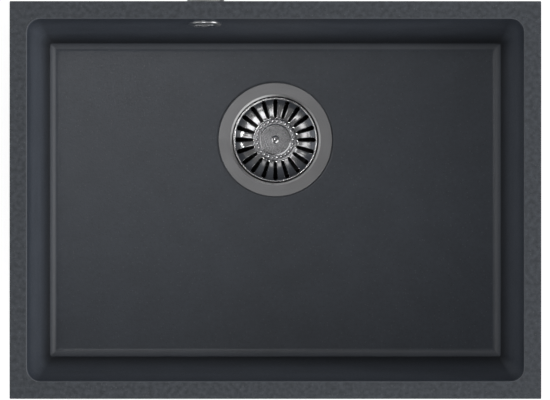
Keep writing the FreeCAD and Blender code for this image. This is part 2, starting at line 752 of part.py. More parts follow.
def make_knob_disc(doc):
    """Make the flat disc that is let into the knob."""
    top = "disc_proud - knob_top"
    return seat_in_drain(ring(
        doc, "knob_disc", "rivet_shank + fit_gap", "disc_radius", "0 - " + DISC_SEAT, top))


def make_knob_rivet(doc):
    """Make the rivet that holds the disc, with its low domed head."""
    body = new_body(doc, "knob_rivet")
    top = "(disc_proud - knob_top)"
    radius = "((rivet_radius ^ 2 + rivet_height ^ 2) / (2 * rivet_height))"
    turned(body, "rivet_turned", [
        ("0", "0 - " + RIVET_END), ("rivet_shank", "0 - " + RIVET_END), ("rivet_shank", top),
        ("rivet_radius", top), ("0", top + " + rivet_height"),
    ], {3: ("0", "%s + rivet_height - %s" % (top, radius))})
    return seat_in_drain(body)


def make_basket_pin(doc):
    """Make the centre pin: stud, shoulder, and the stem with the groove for its ring."""
    body = new_body(doc, "basket_pin")
    stud_top = "0 - %s - fit_gap" % STUD_TOP
    shoulder = "0 - dish_depth - basket_sheet"
    plate = "0 - " + PLATE_TOP
    middle = "0 - %s - ring_drop" % SEAL_TOP
    upper = "%s + ring_height / 2 + running_gap" % middle
    lower = "%s - ring_height / 2 - running_gap" % middle
    turned(body, "pin_turned", [
        ("0", stud_top), ("pin_stud", stud_top), ("pin_stud", shoulder), ("pin_shoulder", shoulder),
        ("pin_shoulder", plate), ("pin_radius", plate), ("pin_radius", upper), ("pin_groove", upper),
        ("pin_groove", lower), ("pin_radius", lower), ("pin_radius", "%s - pin_reach" % plate),
        ("0", "%s - pin_reach" % plate),
    ])
    return seat_in_drain(body)


def make_pin_ring(doc):
    """Make the rubber ring that grips the bolt's bore."""
    middle = "0 - %s - ring_drop" % SEAL_TOP
    return seat_in_drain(ring(doc, "pin_ring", "pin_groove + running_gap", "bolt_bore - running_gap",
                              "%s - ring_height / 2" % middle, "%s + ring_height / 2" % middle))


def make_seal_plate(doc):
    """Make the plate that presses the rubber ring down."""
    return seat_in_drain(ring(doc, "seal_plate", "pin_radius + fit_gap", "plate_radius",
                              "0 - " + SEAL_TOP, "0 - " + PLATE_TOP))


def make_basket_seal(doc):
    """Make the rubber ring that closes the cup's bottom."""
    return seat_in_drain(ring(doc, "basket_seal", "basket_seal_hole", "basket_seal_radius",
                              "lift_gap - cup_depth", "0 - " + SEAL_TOP))


# The overflow

def make_overflow_cover(doc):
    """Make the domed rosette with its sunk plate and six holes."""
    body = new_body(doc, "overflow_cover")
    hole = "screw_radius + thread_gap"
    back = "cover_recess + cover_wall"
    half = "((cover_radius - cover_mouth) / 2)"
    rise = "(cover_height - cover_edge)"
    centre_y = "((%s ^ 2 + %s ^ 2) / (2 * %s) - cover_height)" % (half, rise, rise)
    turned(body, "cover_turned", [
        (hole, "cover_recess"), ("cover_mouth", "cover_recess"), ("cover_mouth", "0 - cover_edge"),
        ("cover_radius", "0 - cover_edge"), ("cover_radius", "0"), ("cover_mouth + cover_wall", "0"),
        ("cover_mouth + cover_wall", back), (hole, back),
    ], {2: ("(cover_mouth + cover_radius) / 2", centre_y)}, role="XY_Plane")
    sketch = new_sketch(body, "hole_outline", "XZ_Plane")
    draw_circle(sketch, "cover_hole", "cover_hole_ring")
    patterned(body, "holes", pocketed(body, "hole", sketch, midplane=True), "cover_holes")
    return seat_on_wall(body)


def make_overflow_screw(doc):
    """Make the screw that pulls the rosette to the elbow, with a cross in its head."""
    body = new_body(doc, "overflow_screw")
    turned(body, "screw_turned", [
        ("0", "cover_recess - screw_head_thick"), ("screw_head", "cover_recess - screw_head_thick"),
        ("screw_head", "cover_recess"), ("screw_radius", "cover_recess"),
        ("screw_radius", "cover_recess + screw_length"), ("0", "cover_recess + screw_length"),
    ], role="XY_Plane")
    sketch = new_sketch(body, "cross_outline", "XZ_Plane", rear="cover_recess - screw_head_thick")
    draw(sketch, box_corners("0 - cross_reach", "cross_reach", "0 - cross_width / 2", "cross_width / 2"))
    arm = pocketed(body, "cross_slot", sketch, "2 * cross_deep", midplane=True)
    patterned(body, "cross", arm, "cross_arms")
    return seat_on_wall(body)


def make_overflow_seal(doc):
    """Make the ring between the outside of the wall and the elbow."""
    body = new_body(doc, "overflow_seal")
    turned(body, "overflow_seal_turned", box_corners(
        "overflow_seal_inner", "overflow_seal_outer", WALL, ELBOW_FRONT), role="XY_Plane")
    return seat_on_wall(body)


def make_overflow_insert(doc):
    """Make the brass insert that the screw is driven into."""
    body = new_body(doc, "overflow_insert")
    turned(body, "overflow_insert_turned", box_corners(
        "screw_radius + fit_gap", "overflow_insert_radius", BOSS_FRONT,
        BOSS_FRONT + " + overflow_insert_length"), role="XY_Plane")
    return seat_on_wall(body)


def make_overflow_elbow(doc):
    """Make the elbow: flange, chamber with the insert's boss, and the spout down to the hose."""
    body = new_body(doc, "overflow_elbow")
    rear_edge = "%s - elbow_bend" % ELBOW_REAR
    turned(body, "chamber", [
        ("0", ELBOW_FRONT), ("elbow_flange", ELBOW_FRONT), ("elbow_flange", ELBOW_SHOULDER),
        ("elbow_radius", ELBOW_SHOULDER), ("elbow_radius", rear_edge),
        ("elbow_radius - elbow_bend", ELBOW_REAR), ("0", ELBOW_REAR),
    ], {4: ("elbow_radius - elbow_bend", rear_edge)}, role="XY_Plane")
    spout = new_sketch(body, "spout_outline", "XY_Plane", height="0 - elbow_mouth")
    draw_circle(spout, "socket_radius", "0", SPOUT_Y)
    padded(body, "spout", spout, "elbow_mouth")
    front = ELBOW_FRONT + " - cut_over"
    insert = "overflow_insert_radius + fit_gap"
    pit = BOSS_FRONT + " + overflow_insert_length + fit_gap"
    inner = "%s - elbow_back" % ELBOW_REAR
    turned(body, "chamber_bore", [
        ("0", front), ("elbow_bore", front), ("elbow_bore", inner),
        ("boss_radius", inner), ("boss_radius", BOSS_FRONT), (insert, BOSS_FRONT), (insert, pit), ("0", pit),
    ], role="XY_Plane", cut=True)
    way = new_sketch(body, "spout_bore_outline", "XY_Plane", height="0 - boss_radius - cut_over")
    draw_circle(way, "hose_bore", "0", SPOUT_Y)
    pocketed(body, "spout_bore", way)
    socket = new_sketch(body, "socket_outline", "XY_Plane", height="socket_deep - elbow_mouth")
    draw_circle(socket, "socket_bore", "0", SPOUT_Y)
    pocketed(body, "socket", socket)
    return seat_on_wall(body)


# The hose and its unions

def make_cone(doc, label):
    """Make the cone ring that the nut squeezes against the hose."""
    body = new_body(doc, label)
    inner = "hose_cuff + cone_gap"
    turned(body, label + "_turned", [
        (inner, "fit_gap"), ("socket_radius", "fit_gap"), ("cone_tip", "cone_length"), (inner, "cone_length"),
    ])
    return body


def make_nut(doc, label):
    """Make a union nut with grip lugs."""
    body = new_body(doc, label)
    back = "0 - nut_reach"
    lip = "cone_length + fit_gap"
    end = "cone_length + nut_lip"
    thread = "socket_radius + thread_gap"
    turned(body, label + "_turned", [
        (thread, back), ("nut_radius", back), ("nut_radius", end), ("nut_mouth", end), ("nut_mouth", lip),
        (thread, lip),
    ])
    sketch = new_sketch(body, label + "_lug_outline", "XY_Plane", height=back)
    draw(sketch, box_corners("nut_radius - nut_lug_root", "nut_radius + nut_lug_height",
                             "0 - nut_lug_width / 2", "nut_lug_width / 2"))
    lug = padded(body, label + "_lug", sketch, "nut_reach + cone_length")
    patterned(body, label + "_lugs", lug, "nut_lugs")
    return body


def make_unions(doc):
    """Make the nut and the cone ring at each end of the hose."""
    return [
        seat_at_elbow(make_cone(doc, "upper_hose_seal")),
        seat_at_elbow(make_nut(doc, "upper_hose_nut")),
        seat_at_inlet(make_cone(doc, "lower_hose_seal")),
        seat_at_inlet(make_nut(doc, "lower_hose_nut")),
    ]


def make_hose(doc):
    """Make the ribbed hose on its route: down the wall, one arc, and level into the pot."""
    lean = math.radians(value(doc, LEAN))
    turn = math.radians(value(doc, INLET_TURN))
    down = FreeCAD.Vector(0, -math.sin(lean), -math.cos(lean))
    level = FreeCAD.Vector(-math.cos(turn), -math.sin(turn), 0)
    mouth = FreeCAD.Vector(-value(doc, "overflow_side"), value(doc, UPPER_Y), value(doc, UPPER_Z))
    corner = FreeCAD.Vector(-value(doc, "overflow_side"), value(doc, TURN_Y),
                            value(doc, "0 - bowl_depth - inlet_drop"))
    reach = value(doc, "inlet_reach")
    inlet = FreeCAD.Vector(0, value(doc, "drain_back"), corner.z) - level * reach
    inside = value(doc, "hose_in")
    angle = down.getAngle(level)
    tangent = value(doc, TURN_REACH + " - inlet_reach - hose_straight")
    bend = tangent / math.tan(angle / 2)
    start = mouth - down * inside
    finish = inlet + level * inside
    arc_start = corner - down * tangent
    arc_end = corner + level * tangent
    side = down.cross(level).normalize()
    centre = arc_start + side.cross(down) * bend
    first_run = (arc_start - start).Length
    arc_run = bend * angle
    total = first_run + arc_run + (finish - arc_end).Length

    def section(distance, radius):
        """Give the circle round the route at a distance from its start."""
        if distance <= first_run:
            spot, way = start + down * distance, down
        elif distance <= first_run + arc_run:
            swing = FreeCAD.Rotation(side, math.degrees((distance - first_run) / bend))
            spot, way = centre + swing.multVec(arc_start - centre), swing.multVec(down)
        else:
            spot, way = arc_end + level * (distance - first_run - arc_run), level
        circle = Part.Circle(spot, way, radius)
        circle.XAxis = side
        return Part.Wire([circle.toShape()])

    cuff = inside + value(doc, "cone_length + nut_lip + cuff_free")
    crest, valley = value(doc, "hose_crest"), value(doc, "hose_valley")
    cuff_radius, bore = value(doc, "hose_cuff"), value(doc, "hose_bore")
    ribs = round((total - 2 * cuff) / value(doc, "rib_pitch"))
    pitch = (total - 2 * cuff) / ribs
    rings = [section(0, cuff_radius), section(cuff - pitch * RIB_SHARES[1], cuff_radius)]
    for number in range(ribs):
        for share, radius in zip(RIB_SHARES, (valley, crest, crest, valley)):
            rings.append(section(cuff + (number + share) * pitch, radius))
    rings += [section(total - cuff, cuff_radius), section(total, cuff_radius)]
    outside = Part.makeLoft(rings, True, True)
    middle = centre + FreeCAD.Rotation(side, math.degrees(angle / 2)).multVec(arc_start - centre)
    path = Part.Wire([
        Part.LineSegment(start, arc_start).toShape(),
        Part.Arc(arc_start, middle, arc_end).toShape(),
        Part.LineSegment(arc_end, finish).toShape(),
    ])
    core = path.makePipeShell([section(0, bore)], True, False)
    plain = math.pi * bore ** 2 * total
    print("hose: length %.1f mm, radius of its arc %.1f mm, %d ribs" % (total, bend, ribs))
    print("hose: bore %.1f mm3 against %.1f mm3 by length" % (core.Volume, plain))
    hose = doc.addObject("Part::Feature", "overflow_hose")
    hose.Label = "overflow_hose"
    hose.Shape = outside.cut(core)
    return hose


def check(doc, pieces):
    """Stop if an object failed, a cut took nothing away, or a piece isn't one sound solid."""
    for item in doc.Objects:
        if "Invalid" in item.State or "Error" in item.State:
            raise RuntimeError("%s is %s" % (item.Name, item.State))
        if item.TypeId in ("PartDesign::Pocket", "PartDesign::Groove"):
            if item.Shape.Volume > item.BaseFeature.Shape.Volume - LEVEL:
                raise RuntimeError("%s cuts nothing" % item.Name)
    for piece in pieces:
        shape = piece.Shape
        if shape.isNull() or not shape.isValid() or len(shape.Solids) != 1:
            raise RuntimeError("%s is not one sound solid" % piece.Label)


def main():
    """Build every piece and write one file for each."""
    doc = FreeCAD.newDocument("KitchenSink")
    make_sheet(doc)
    pieces = [make_bowl(doc), make_waste_flange(doc), make_waste_body(doc), make_body_insert(doc)]
    pieces += make_waste_seals(doc)
    pieces += [make_clamp_bolt(doc), make_basket(doc), make_knob(doc), make_knob_disc(doc)]
    pieces += [make_knob_rivet(doc), make_basket_pin(doc), make_pin_ring(doc), make_seal_plate(doc)]
    pieces += [make_basket_seal(doc), make_overflow_cover(doc), make_overflow_screw(doc)]
    pieces += [make_overflow_seal(doc), make_overflow_insert(doc), make_overflow_elbow(doc)]
    pieces += make_unions(doc) + [make_hose(doc)]
    doc.recompute()
    check(doc, pieces)
    os.makedirs("parts", exist_ok=True)
    for piece in pieces:
        piece.Shape.exportStep("parts/%s.step" % piece.Label)
        box = piece.Shape.BoundBox
        print("%-18s %10.1f mm3  x %7.1f %7.1f  y %7.1f %7.1f  z %7.1f %7.1f" % (
            piece.Label, piece.Shape.Volume, box.XMin, box.XMax, box.YMin, box.YMax, box.ZMin, box.ZMax))


main()
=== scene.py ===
"""Kitchen sink: composite bowl, basket strainer, waste pot and piped overflow.

The pieces are built in millimetres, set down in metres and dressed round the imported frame.
"""

import logging
import math
from collections.abc import Sequence
from dataclasses import dataclass
from enum import Enum
from typing import ClassVar

import bmesh
import bpy
from mathutils import Matrix, Vector
from mathutils.geometry import delaunay_2d_cdt


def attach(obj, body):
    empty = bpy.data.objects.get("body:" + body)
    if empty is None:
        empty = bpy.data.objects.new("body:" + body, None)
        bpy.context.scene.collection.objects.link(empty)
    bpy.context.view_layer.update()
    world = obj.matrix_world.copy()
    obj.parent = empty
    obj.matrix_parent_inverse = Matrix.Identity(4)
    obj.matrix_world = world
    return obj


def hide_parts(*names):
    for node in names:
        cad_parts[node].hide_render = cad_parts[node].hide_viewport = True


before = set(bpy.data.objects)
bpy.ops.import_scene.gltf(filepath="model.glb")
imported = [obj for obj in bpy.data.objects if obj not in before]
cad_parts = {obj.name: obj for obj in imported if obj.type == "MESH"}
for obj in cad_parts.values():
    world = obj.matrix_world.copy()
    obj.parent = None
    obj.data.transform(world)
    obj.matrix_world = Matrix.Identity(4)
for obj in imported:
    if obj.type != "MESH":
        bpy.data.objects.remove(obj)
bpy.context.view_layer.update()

log = logging.getLogger("sink")

MM = 0.001
QUARTER = math.pi / 2
FULL = 2 * math.pi
MERGE = 0.0005      # mm under which points are one
LONG_RUN = 1.1      # mm over which an outline's run gets a point near each end
HOLD = 0.25         # mm from the end of the run to that point
FACET = 12.0        # degrees that one facet of a rounded corner turns at most
CREASE = 35.0       # degrees over which an edge stays sharp
ROUND = 96          # facets round an axis
FINE = 1e-6         # how near to each other the flat layout tells points apart
NOISE_SPAN = (0.3, 0.7)     # between which nearly all of a noise lies
MIX_COLOURS = (6, 7)        # a Mix node's two colour inputs, by number: its plain values share their names
MIXED_COLOUR = 2            # its colour output

Spot = tuple[float, float]
Span = tuple[float, float]
Outline = list[Spot]
Colour = tuple[float, float, float]
Loop = list[bmesh.types.BMVert]
Socket = bpy.types.NodeSocket


# Places

@dataclass(frozen=True)
class Layout:
    """Where the sub-assemblies sit in the sink's frame, in millimetres."""

    open_half_y: float = 173.75
    floor_half_y: float = 156.5
    depth: float = 200.0
    wall: float = 8.0
    drain_y: float = 60.5
    overflow_side: float = 68.0
    overflow_drop: float = 38.0
    spout_behind: float = 19.3
    elbow_mouth: float = 36.0
    inlet_drop: float = 50.0
    inlet_reach: float = 78.0
    hose_straight: float = 12.7
    hose_in: float = 17.0

    @property
    def run(self) -> float:
        """Give how far the rear wall leans for each millimetre of depth."""
        return (self.open_half_y - self.floor_half_y) / self.depth

    @property
    def lean(self) -> float:
        """Give the rear wall's lean from upright, in radians."""
        return math.atan(self.run)

    @property
    def drain(self) -> Matrix:
        """Give the drain's seat: its axis, counted from the floor's top."""
        return Matrix.Translation((0.0, self.drain_y, -self.depth))

    @property
    def on_wall(self) -> Matrix:
        """Give the overflow's seat: square to the rear wall, +Y outwards."""
        spot = (-self.overflow_side, self.open_half_y - self.run * self.overflow_drop, -self.overflow_drop)
        return Matrix.Translation(spot) @ Matrix.Rotation(-self.lean, 4, "X")

    @property
    def mouth(self) -> Vector:
        """Give the middle of the elbow's mouth."""
        behind = self.wall * math.cos(self.lean) + self.spout_behind
        return self.on_wall @ Vector((0.0, behind, -self.elbow_mouth))

    @property
    def down(self) -> Vector:
        """Give the way the hose leaves the elbow."""
        return Vector((0.0, -math.sin(self.lean), -math.cos(self.lean)))

    @property
    def corner(self) -> Vector:
        """Give the corner of the hose's route, as low as the pot's inlet."""
        low = -self.depth - self.inlet_drop
        return self.mouth + self.down * ((self.mouth.z - low) / math.cos(self.lean))

    @property
    def level(self) -> Vector:
        """Give the way the hose runs into the pot."""
        return (Vector((0.0, self.drain_y, self.corner.z)) - self.corner).normalized()

    @property
    def inlet(self) -> Vector:
        """Give the middle of the pot's inlet."""
        return Vector((0.0, self.drain_y, self.corner.z)) - self.level * self.inlet_reach

    @staticmethod
    def facing(spot: Vector, way: Vector) -> Matrix:
        """Give a seat at a spot whose +Z looks along a way."""
        return Matrix.Translation(spot) @ way.to_track_quat("Z", "Y").to_matrix().to_4x4()


LAYOUT = Layout()


# Outlines

def turns(steps: int, end: float = QUARTER, start: float = 0.0) -> list[float]:
    """Give the angles from a start to an end in equal steps, with both ends."""
    return [start + (end - start) * k / steps for k in range(steps + 1)]


def around(radius: float, turn: float) -> Spot:
    """Give the spot at a radius and an angle about the origin."""
    return radius * math.cos(turn), radius * math.sin(turn)


def circle(radius: float, steps: int) -> Outline:
    """Give the points of a circle about the origin."""
    return [around(radius, k * FULL / steps) for k in range(steps)]


def crown(half: float, rise: float) -> tuple[float, float]:
    """Give the radius and the half angle of an arc that is so wide and so high."""
    radius = (half ** 2 + rise ** 2) / (2 * rise)
    return radius, math.asin(half / radius)


def rounded(corners: Sequence[tuple[float, float, float]], step: float = FACET) -> Outline:
    """Round an outline's corners.

    Args:
        corners: each corner's two places and the radius of its bend, 0 for a sharp one.
        step: the most that one facet of a bend may turn, in degrees.

    Returns:
        The outline's points.
    """
    points: Outline = []
    for number, (x, y, radius) in enumerate(corners):
        here = Vector((x, y))
        if radius <= 0.0:
            points.append((x, y))
            continue
        before = (Vector(corners[number - 1][:2]) - here).normalized()
        after = (Vector(corners[(number + 1) % len(corners)][:2]) - here).normalized()
        half = before.angle(after) / 2
        centre = here + (before + after).normalized() * (radius / math.sin(half))
        first = here + before * (radius / math.tan(half)) - centre
        last = here + after * (radius / math.tan(half)) - centre
        count = max(2, math.ceil(math.degrees(math.pi - 2 * half) / step))
        for k in range(count + 1):
            spoke = first.slerp(last, k / count) if k else first
            points.append(tuple(centre + spoke.normalized() * radius))
    return points


def held(outline: Outline, closed: bool) -> Outline:
    """Add points near the ends of an outline's long runs, so that flat faces shade flat.

    Args:
        outline: the outline's radii and heights.
        closed: whether its last point meets its first.

    Returns:
        The outline with the added points.
    """
    points: Outline = []
    for number, spot in enumerate(outline):
        points.append(spot)
        if number + 1 == len(outline) and not closed:
            break
        start, end = Vector(spot), Vector(outline[(number + 1) % len(outline)])
        run = (end - start).length
        on_axis = max(start.x, end.x) < MERGE
        if run > LONG_RUN and not on_axis:
            points += [tuple(start.lerp(end, HOLD / run)), tuple(end.lerp(start, HOLD / run))]
    return points


# Meshes

def skin(bm: bmesh.types.BMesh, loops: Sequence[Loop], closed: bool = False) -> None:
    """Bridge loops with quads.

    Args:
        bm: the mesh that holds the loops' vertices.
        loops: the loops in order, all of one length, where a loop of one vertex is a pole.
        closed: whether the last loop meets the first one.
    """
    pairs = list(zip(loops, loops[1:]))
    if closed:
        pairs.append((loops[-1], loops[0]))
    for low, high in pairs:
        count = max(len(low), len(high))
        for k in range(count):
            then = (k + 1) % count
            ring = [low[k % len(low)], low[then % len(low)], high[then % len(high)], high[k % len(high)]]
            face = list(dict.fromkeys(ring))
            if len(face) > 2:
                bm.faces.new(face)


def lathe(outline: Outline, steps: int = ROUND, closed: bool = True) -> bmesh.types.BMesh:
    """Turn an outline of radii and heights about the Z axis.

    Args:
        outline: the outline's radii and heights.
        steps: the number of facets round the axis.
        closed: whether the outline's last point meets its first.

    Returns:
        The turned mesh, in the outline's own units.
    """
    bm = bmesh.new()
    loops = []
    for radius, height in held(outline, closed):
        ring = circle(radius, steps) if radius >= MERGE else [(0.0, 0.0)]
        loops.append([bm.verts.new((x, y, height)) for x, y in ring])
    poles = len(loops[0]) + len(loops[-1]) == 2
    skin(bm, loops, closed=closed and not poles)
    return bm


def prism(outline: Outline, low: float, high: float) -> bmesh.types.BMesh:
    """Raise a flat outline into a closed block.

    Args:
        outline: the outline's points.
        low: the height of the block's foot.
        high: the height of its top.

    Returns:
        The block, in the outline's own units.
    """
    bm = bmesh.new()
    loops = [[bm.verts.new((x, y, z)) for x, y in outline] for z in (low, high)]
    skin(bm, loops)
    for loop in loops:
        bm.faces.new(loop)
    return bm


# Objects

def placed(name: str, made: bmesh.types.BMesh | bpy.types.ID) -> bpy.types.Object:
    """Put a new object in the scene.

    Args:
        name: the object's name.
        made: the object's data, or a bmesh, which is freed.

    Returns:
        The object, at the origin.
    """
    data = made
    if isinstance(made, bmesh.types.BMesh):
        data = bpy.data.meshes.new(name)
        made.to_mesh(data)
        made.free()
    item = bpy.data.objects.new(name, data)
    bpy.context.scene.collection.objects.link(item)
    return item


def make_object(name: str, bm: bmesh.types.BMesh, seat: Matrix | None = None,
                crease: float = CREASE) -> bpy.types.Object:
    """Turn a mesh in millimetres into an object at the origin of the sink's frame.

    Args:
        name: the piece's name.
        bm: the mesh, which is freed.
        seat: where the piece sits, in millimetres, or None for where it was drawn.
        crease: the angle in degrees above which an edge stays sharp.

    Returns:
        The object, with its place in its mesh.
    """
    bmesh.ops.remove_doubles(bm, verts=bm.verts, dist=MERGE)
    bmesh.ops.recalc_face_normals(bm, faces=bm.faces)
    bm.transform(Matrix.Scale(MM, 4) @ (seat or Matrix()))
    item = placed(name, bm)
    smooth(item, crease)
    return item


def smooth(item: bpy.types.Object, crease: float) -> None:
    """Shade a mesh smooth but for the edges that turn more than an angle in degrees."""
    item.data.shade_smooth()
    item.data.set_sharp_from_angle(angle=math.radians(crease))


def seated(item: bpy.types.Object, seat: Matrix) -> bpy.types.Object:
    """Move a mesh, already in metres, from the origin to a seat in millimetres."""
    item.data.transform(Matrix.Scale(MM, 4) @ seat @ Matrix.Scale(1 / MM, 4))
    return item


def settle(item: bpy.types.Object) -> bpy.types.Object:
    """Turn an object with modifiers into the plain mesh that they make.

    Args:
        item: the object.

    Returns:
        The object, with no modifier left.
    """
    graph = bpy.context.evaluated_depsgraph_get()
    made = bpy.data.meshes.new_from_object(item.evaluated_get(graph))
    item.modifiers.clear()
    item.data = made
    made.name = item.name
    return item


def walled(item: bpy.types.Object, wall: float, even: bool = False) -> bpy.types.Object:
    """Give a sheet its thickness, on the side away from its faces.

    Args:
        item: the sheet.
        wall: its thickness in millimetres.
        even: whether the wall keeps its thickness round bends.

    Returns:
        The object with its closed wall.
    """
    modifier = item.modifiers.new("wall", "SOLIDIFY")
    modifier.thickness = wall * MM
    modifier.offset = -1.0
    modifier.use_even_offset = even
    return settle(item)


def cut(item: bpy.types.Object, tools: Sequence[bpy.types.Object],
        crease: float = CREASE) -> bpy.types.Object:
    """Cut closed tools out of a closed piece.

    Args:
        item: the piece.
        tools: the closed tools, which are deleted.
        crease: the angle in degrees above which an edge stays sharp.

    Returns:
        The piece as a plain mesh.
    """
    for tool in tools:
        modifier = item.modifiers.new("cut", "BOOLEAN")
        modifier.operation = "DIFFERENCE"
        modifier.solver = "EXACT"
        modifier.object = tool
    settle(item)
    for tool in tools:
        bpy.data.objects.remove(tool)
    smooth(item, crease)
    return item


def joined(item: bpy.types.Object, other: bpy.types.Object, crease: float) -> bpy.types.Object:
    """Put another object's mesh into an object.

    Args:
        item: the object that stays.
        other: the object whose mesh joins it, and which is deleted.
        crease: the angle in degrees above which an edge stays sharp.

    Returns:
        The object that stays.
    """
    bm = bmesh.new()
    for part in (item, other):
        bm.from_mesh(part.data)
    bm.to_mesh(item.data)
    bm.free()
    bpy.data.objects.remove(other)
    smooth(item, crease)
    return item


# Node trees

class Wiring:
    """A node tree whose nodes are added and linked in short calls."""

    PREFIX: ClassVar[str] = "ShaderNode"

    def __init__(self, tree: bpy.types.NodeTree) -> None:
        """Take the tree that the nodes go into."""
        self.tree = tree

    def node(self, kind: str, inputs: dict[int | str, object] | None = None,
             **settings: object) -> bpy.types.Node:
        """Add a node.

        Args:
            kind: the node's type, whole or without the tree's own prefix.
            inputs: the values or sockets for its inputs, by name or number.
            settings: the node's own properties.

        Returns:
            The node.
        """
        made = self.tree.nodes.new(kind if kind.startswith("ShaderNode") else self.PREFIX + kind)
        for name, setting in settings.items():
            setattr(made, name, setting)
        for name, value in (inputs or {}).items():
            if isinstance(value, Socket):
                self.tree.links.new(value, made.inputs[name])
            else:
                made.inputs[name].default_value = value
        return made

    def maths(self, operation: str, first: Socket | float, second: Socket | float = 0.0) -> Socket:
        """Add a Math node and give its result."""
        return self.node("ShaderNodeMath", {0: first, 1: second}, operation=operation).outputs[0]

    def plus(self, first: Socket | float, second: Socket | float) -> Socket:
        """Add two values."""
        return self.maths("ADD", first, second)

    def minus(self, first: Socket | float, second: Socket | float) -> Socket:
        """Take the second value from the first."""
        return self.maths("SUBTRACT", first, second)

    def times(self, first: Socket | float, second: Socket | float) -> Socket:
        """Multiply two values."""
        return self.maths("MULTIPLY", first, second)


class Growth(Wiring):
    """A Geometry Nodes tree with named inputs."""

    PREFIX: ClassVar[str] = "GeometryNode"

    def __init__(self, name: str, sizes: dict[str, float | int]) -> None:
        """Start a tree.

        Args:
            name: the tree's name.
            sizes: the named inputs with their values, whole numbers as counts.
        """
        super().__init__(bpy.data.node_groups.new(name, "GeometryNodeTree"))
        self.sizes = sizes
        sockets = self.tree.interface
        sockets.new_socket("Geometry", in_out="INPUT", socket_type="NodeSocketGeometry")
        for size, number in sizes.items():
            kind = "NodeSocketInt" if isinstance(number, int) else "NodeSocketFloat"
            sockets.new_socket(size, in_out="INPUT", socket_type=kind)
        sockets.new_socket("Geometry", in_out="OUTPUT", socket_type="NodeSocketGeometry")
        self.inputs = self.tree.nodes.new("NodeGroupInput").outputs

    def grow(self, item: bpy.types.Object, shape: Socket, material: bpy.types.Material,
             merge: float = 0.0) -> bpy.types.Object:
        """Finish the tree and make its result the object's plain mesh.

        Args:
            item: the object that the tree starts from.
            shape: the socket with the finished geometry.
            material: the material that the tree sets.
            merge: the distance under which doubles are merged, 0 for none.

        Returns:
            The object, with no modifier left.
        """
        last = self.node("RealizeInstances", {"Geometry": shape}).outputs[0]
        if merge:
            last = self.node("MergeByDistance", {"Geometry": last, "Distance": merge}).outputs[0]
        last = self.node("SetMaterial", {"Geometry": last, "Material": material}).outputs[0]
        self.tree.links.new(last, self.tree.nodes.new("NodeGroupOutput").inputs["Geometry"])
        modifier = item.modifiers.new(self.tree.name, "NODES")
        modifier.node_group = self.tree
        for socket in self.tree.interface.items_tree:
            if socket.name in self.sizes:
                modifier[socket.identifier] = self.sizes[socket.name]
        return settle(item)


def ring_of(item: bpy.types.Object, copies: int, material: bpy.types.Material,
            merge: float = 0.0) -> bpy.types.Object:
    """Repeat an object's mesh round its own Z axis.

    Args:
        item: the object, still in its own frame in metres.
        copies: the number of copies.
        material: the material that the tree sets.
        merge: the distance in metres under which doubles are merged.

    Returns:
        The object with all its copies in one plain mesh.
    """
    growth = Growth("ring of " + item.name, {"Copies": copies, "Full Turn": FULL})
    points = growth.node("Points", {"Count": growth.inputs["Copies"]}).outputs[0]
    index = growth.node("InputIndex").outputs["Index"]
    step = growth.maths("DIVIDE", growth.inputs["Full Turn"], growth.inputs["Copies"])
    turn = growth.node("ShaderNodeCombineXYZ", {"Z": growth.times(index, step)}).outputs[0]
    copied = growth.node("InstanceOnPoints", {
        "Points": points, "Instance": growth.inputs["Geometry"], "Rotation": turn})
    return growth.grow(item, copied.outputs["Instances"], material, merge)


# Materials

def shaded(colour: Colour, share: float) -> Colour:
    """Give a share of a colour, no brighter than white."""
    return tuple(min(1.0, share * part) for part in colour)


def rgba(value: object) -> object:
    """Give a colour its alpha, and any other value as it is."""
    return (*value, 1.0) if isinstance(value, tuple) else value


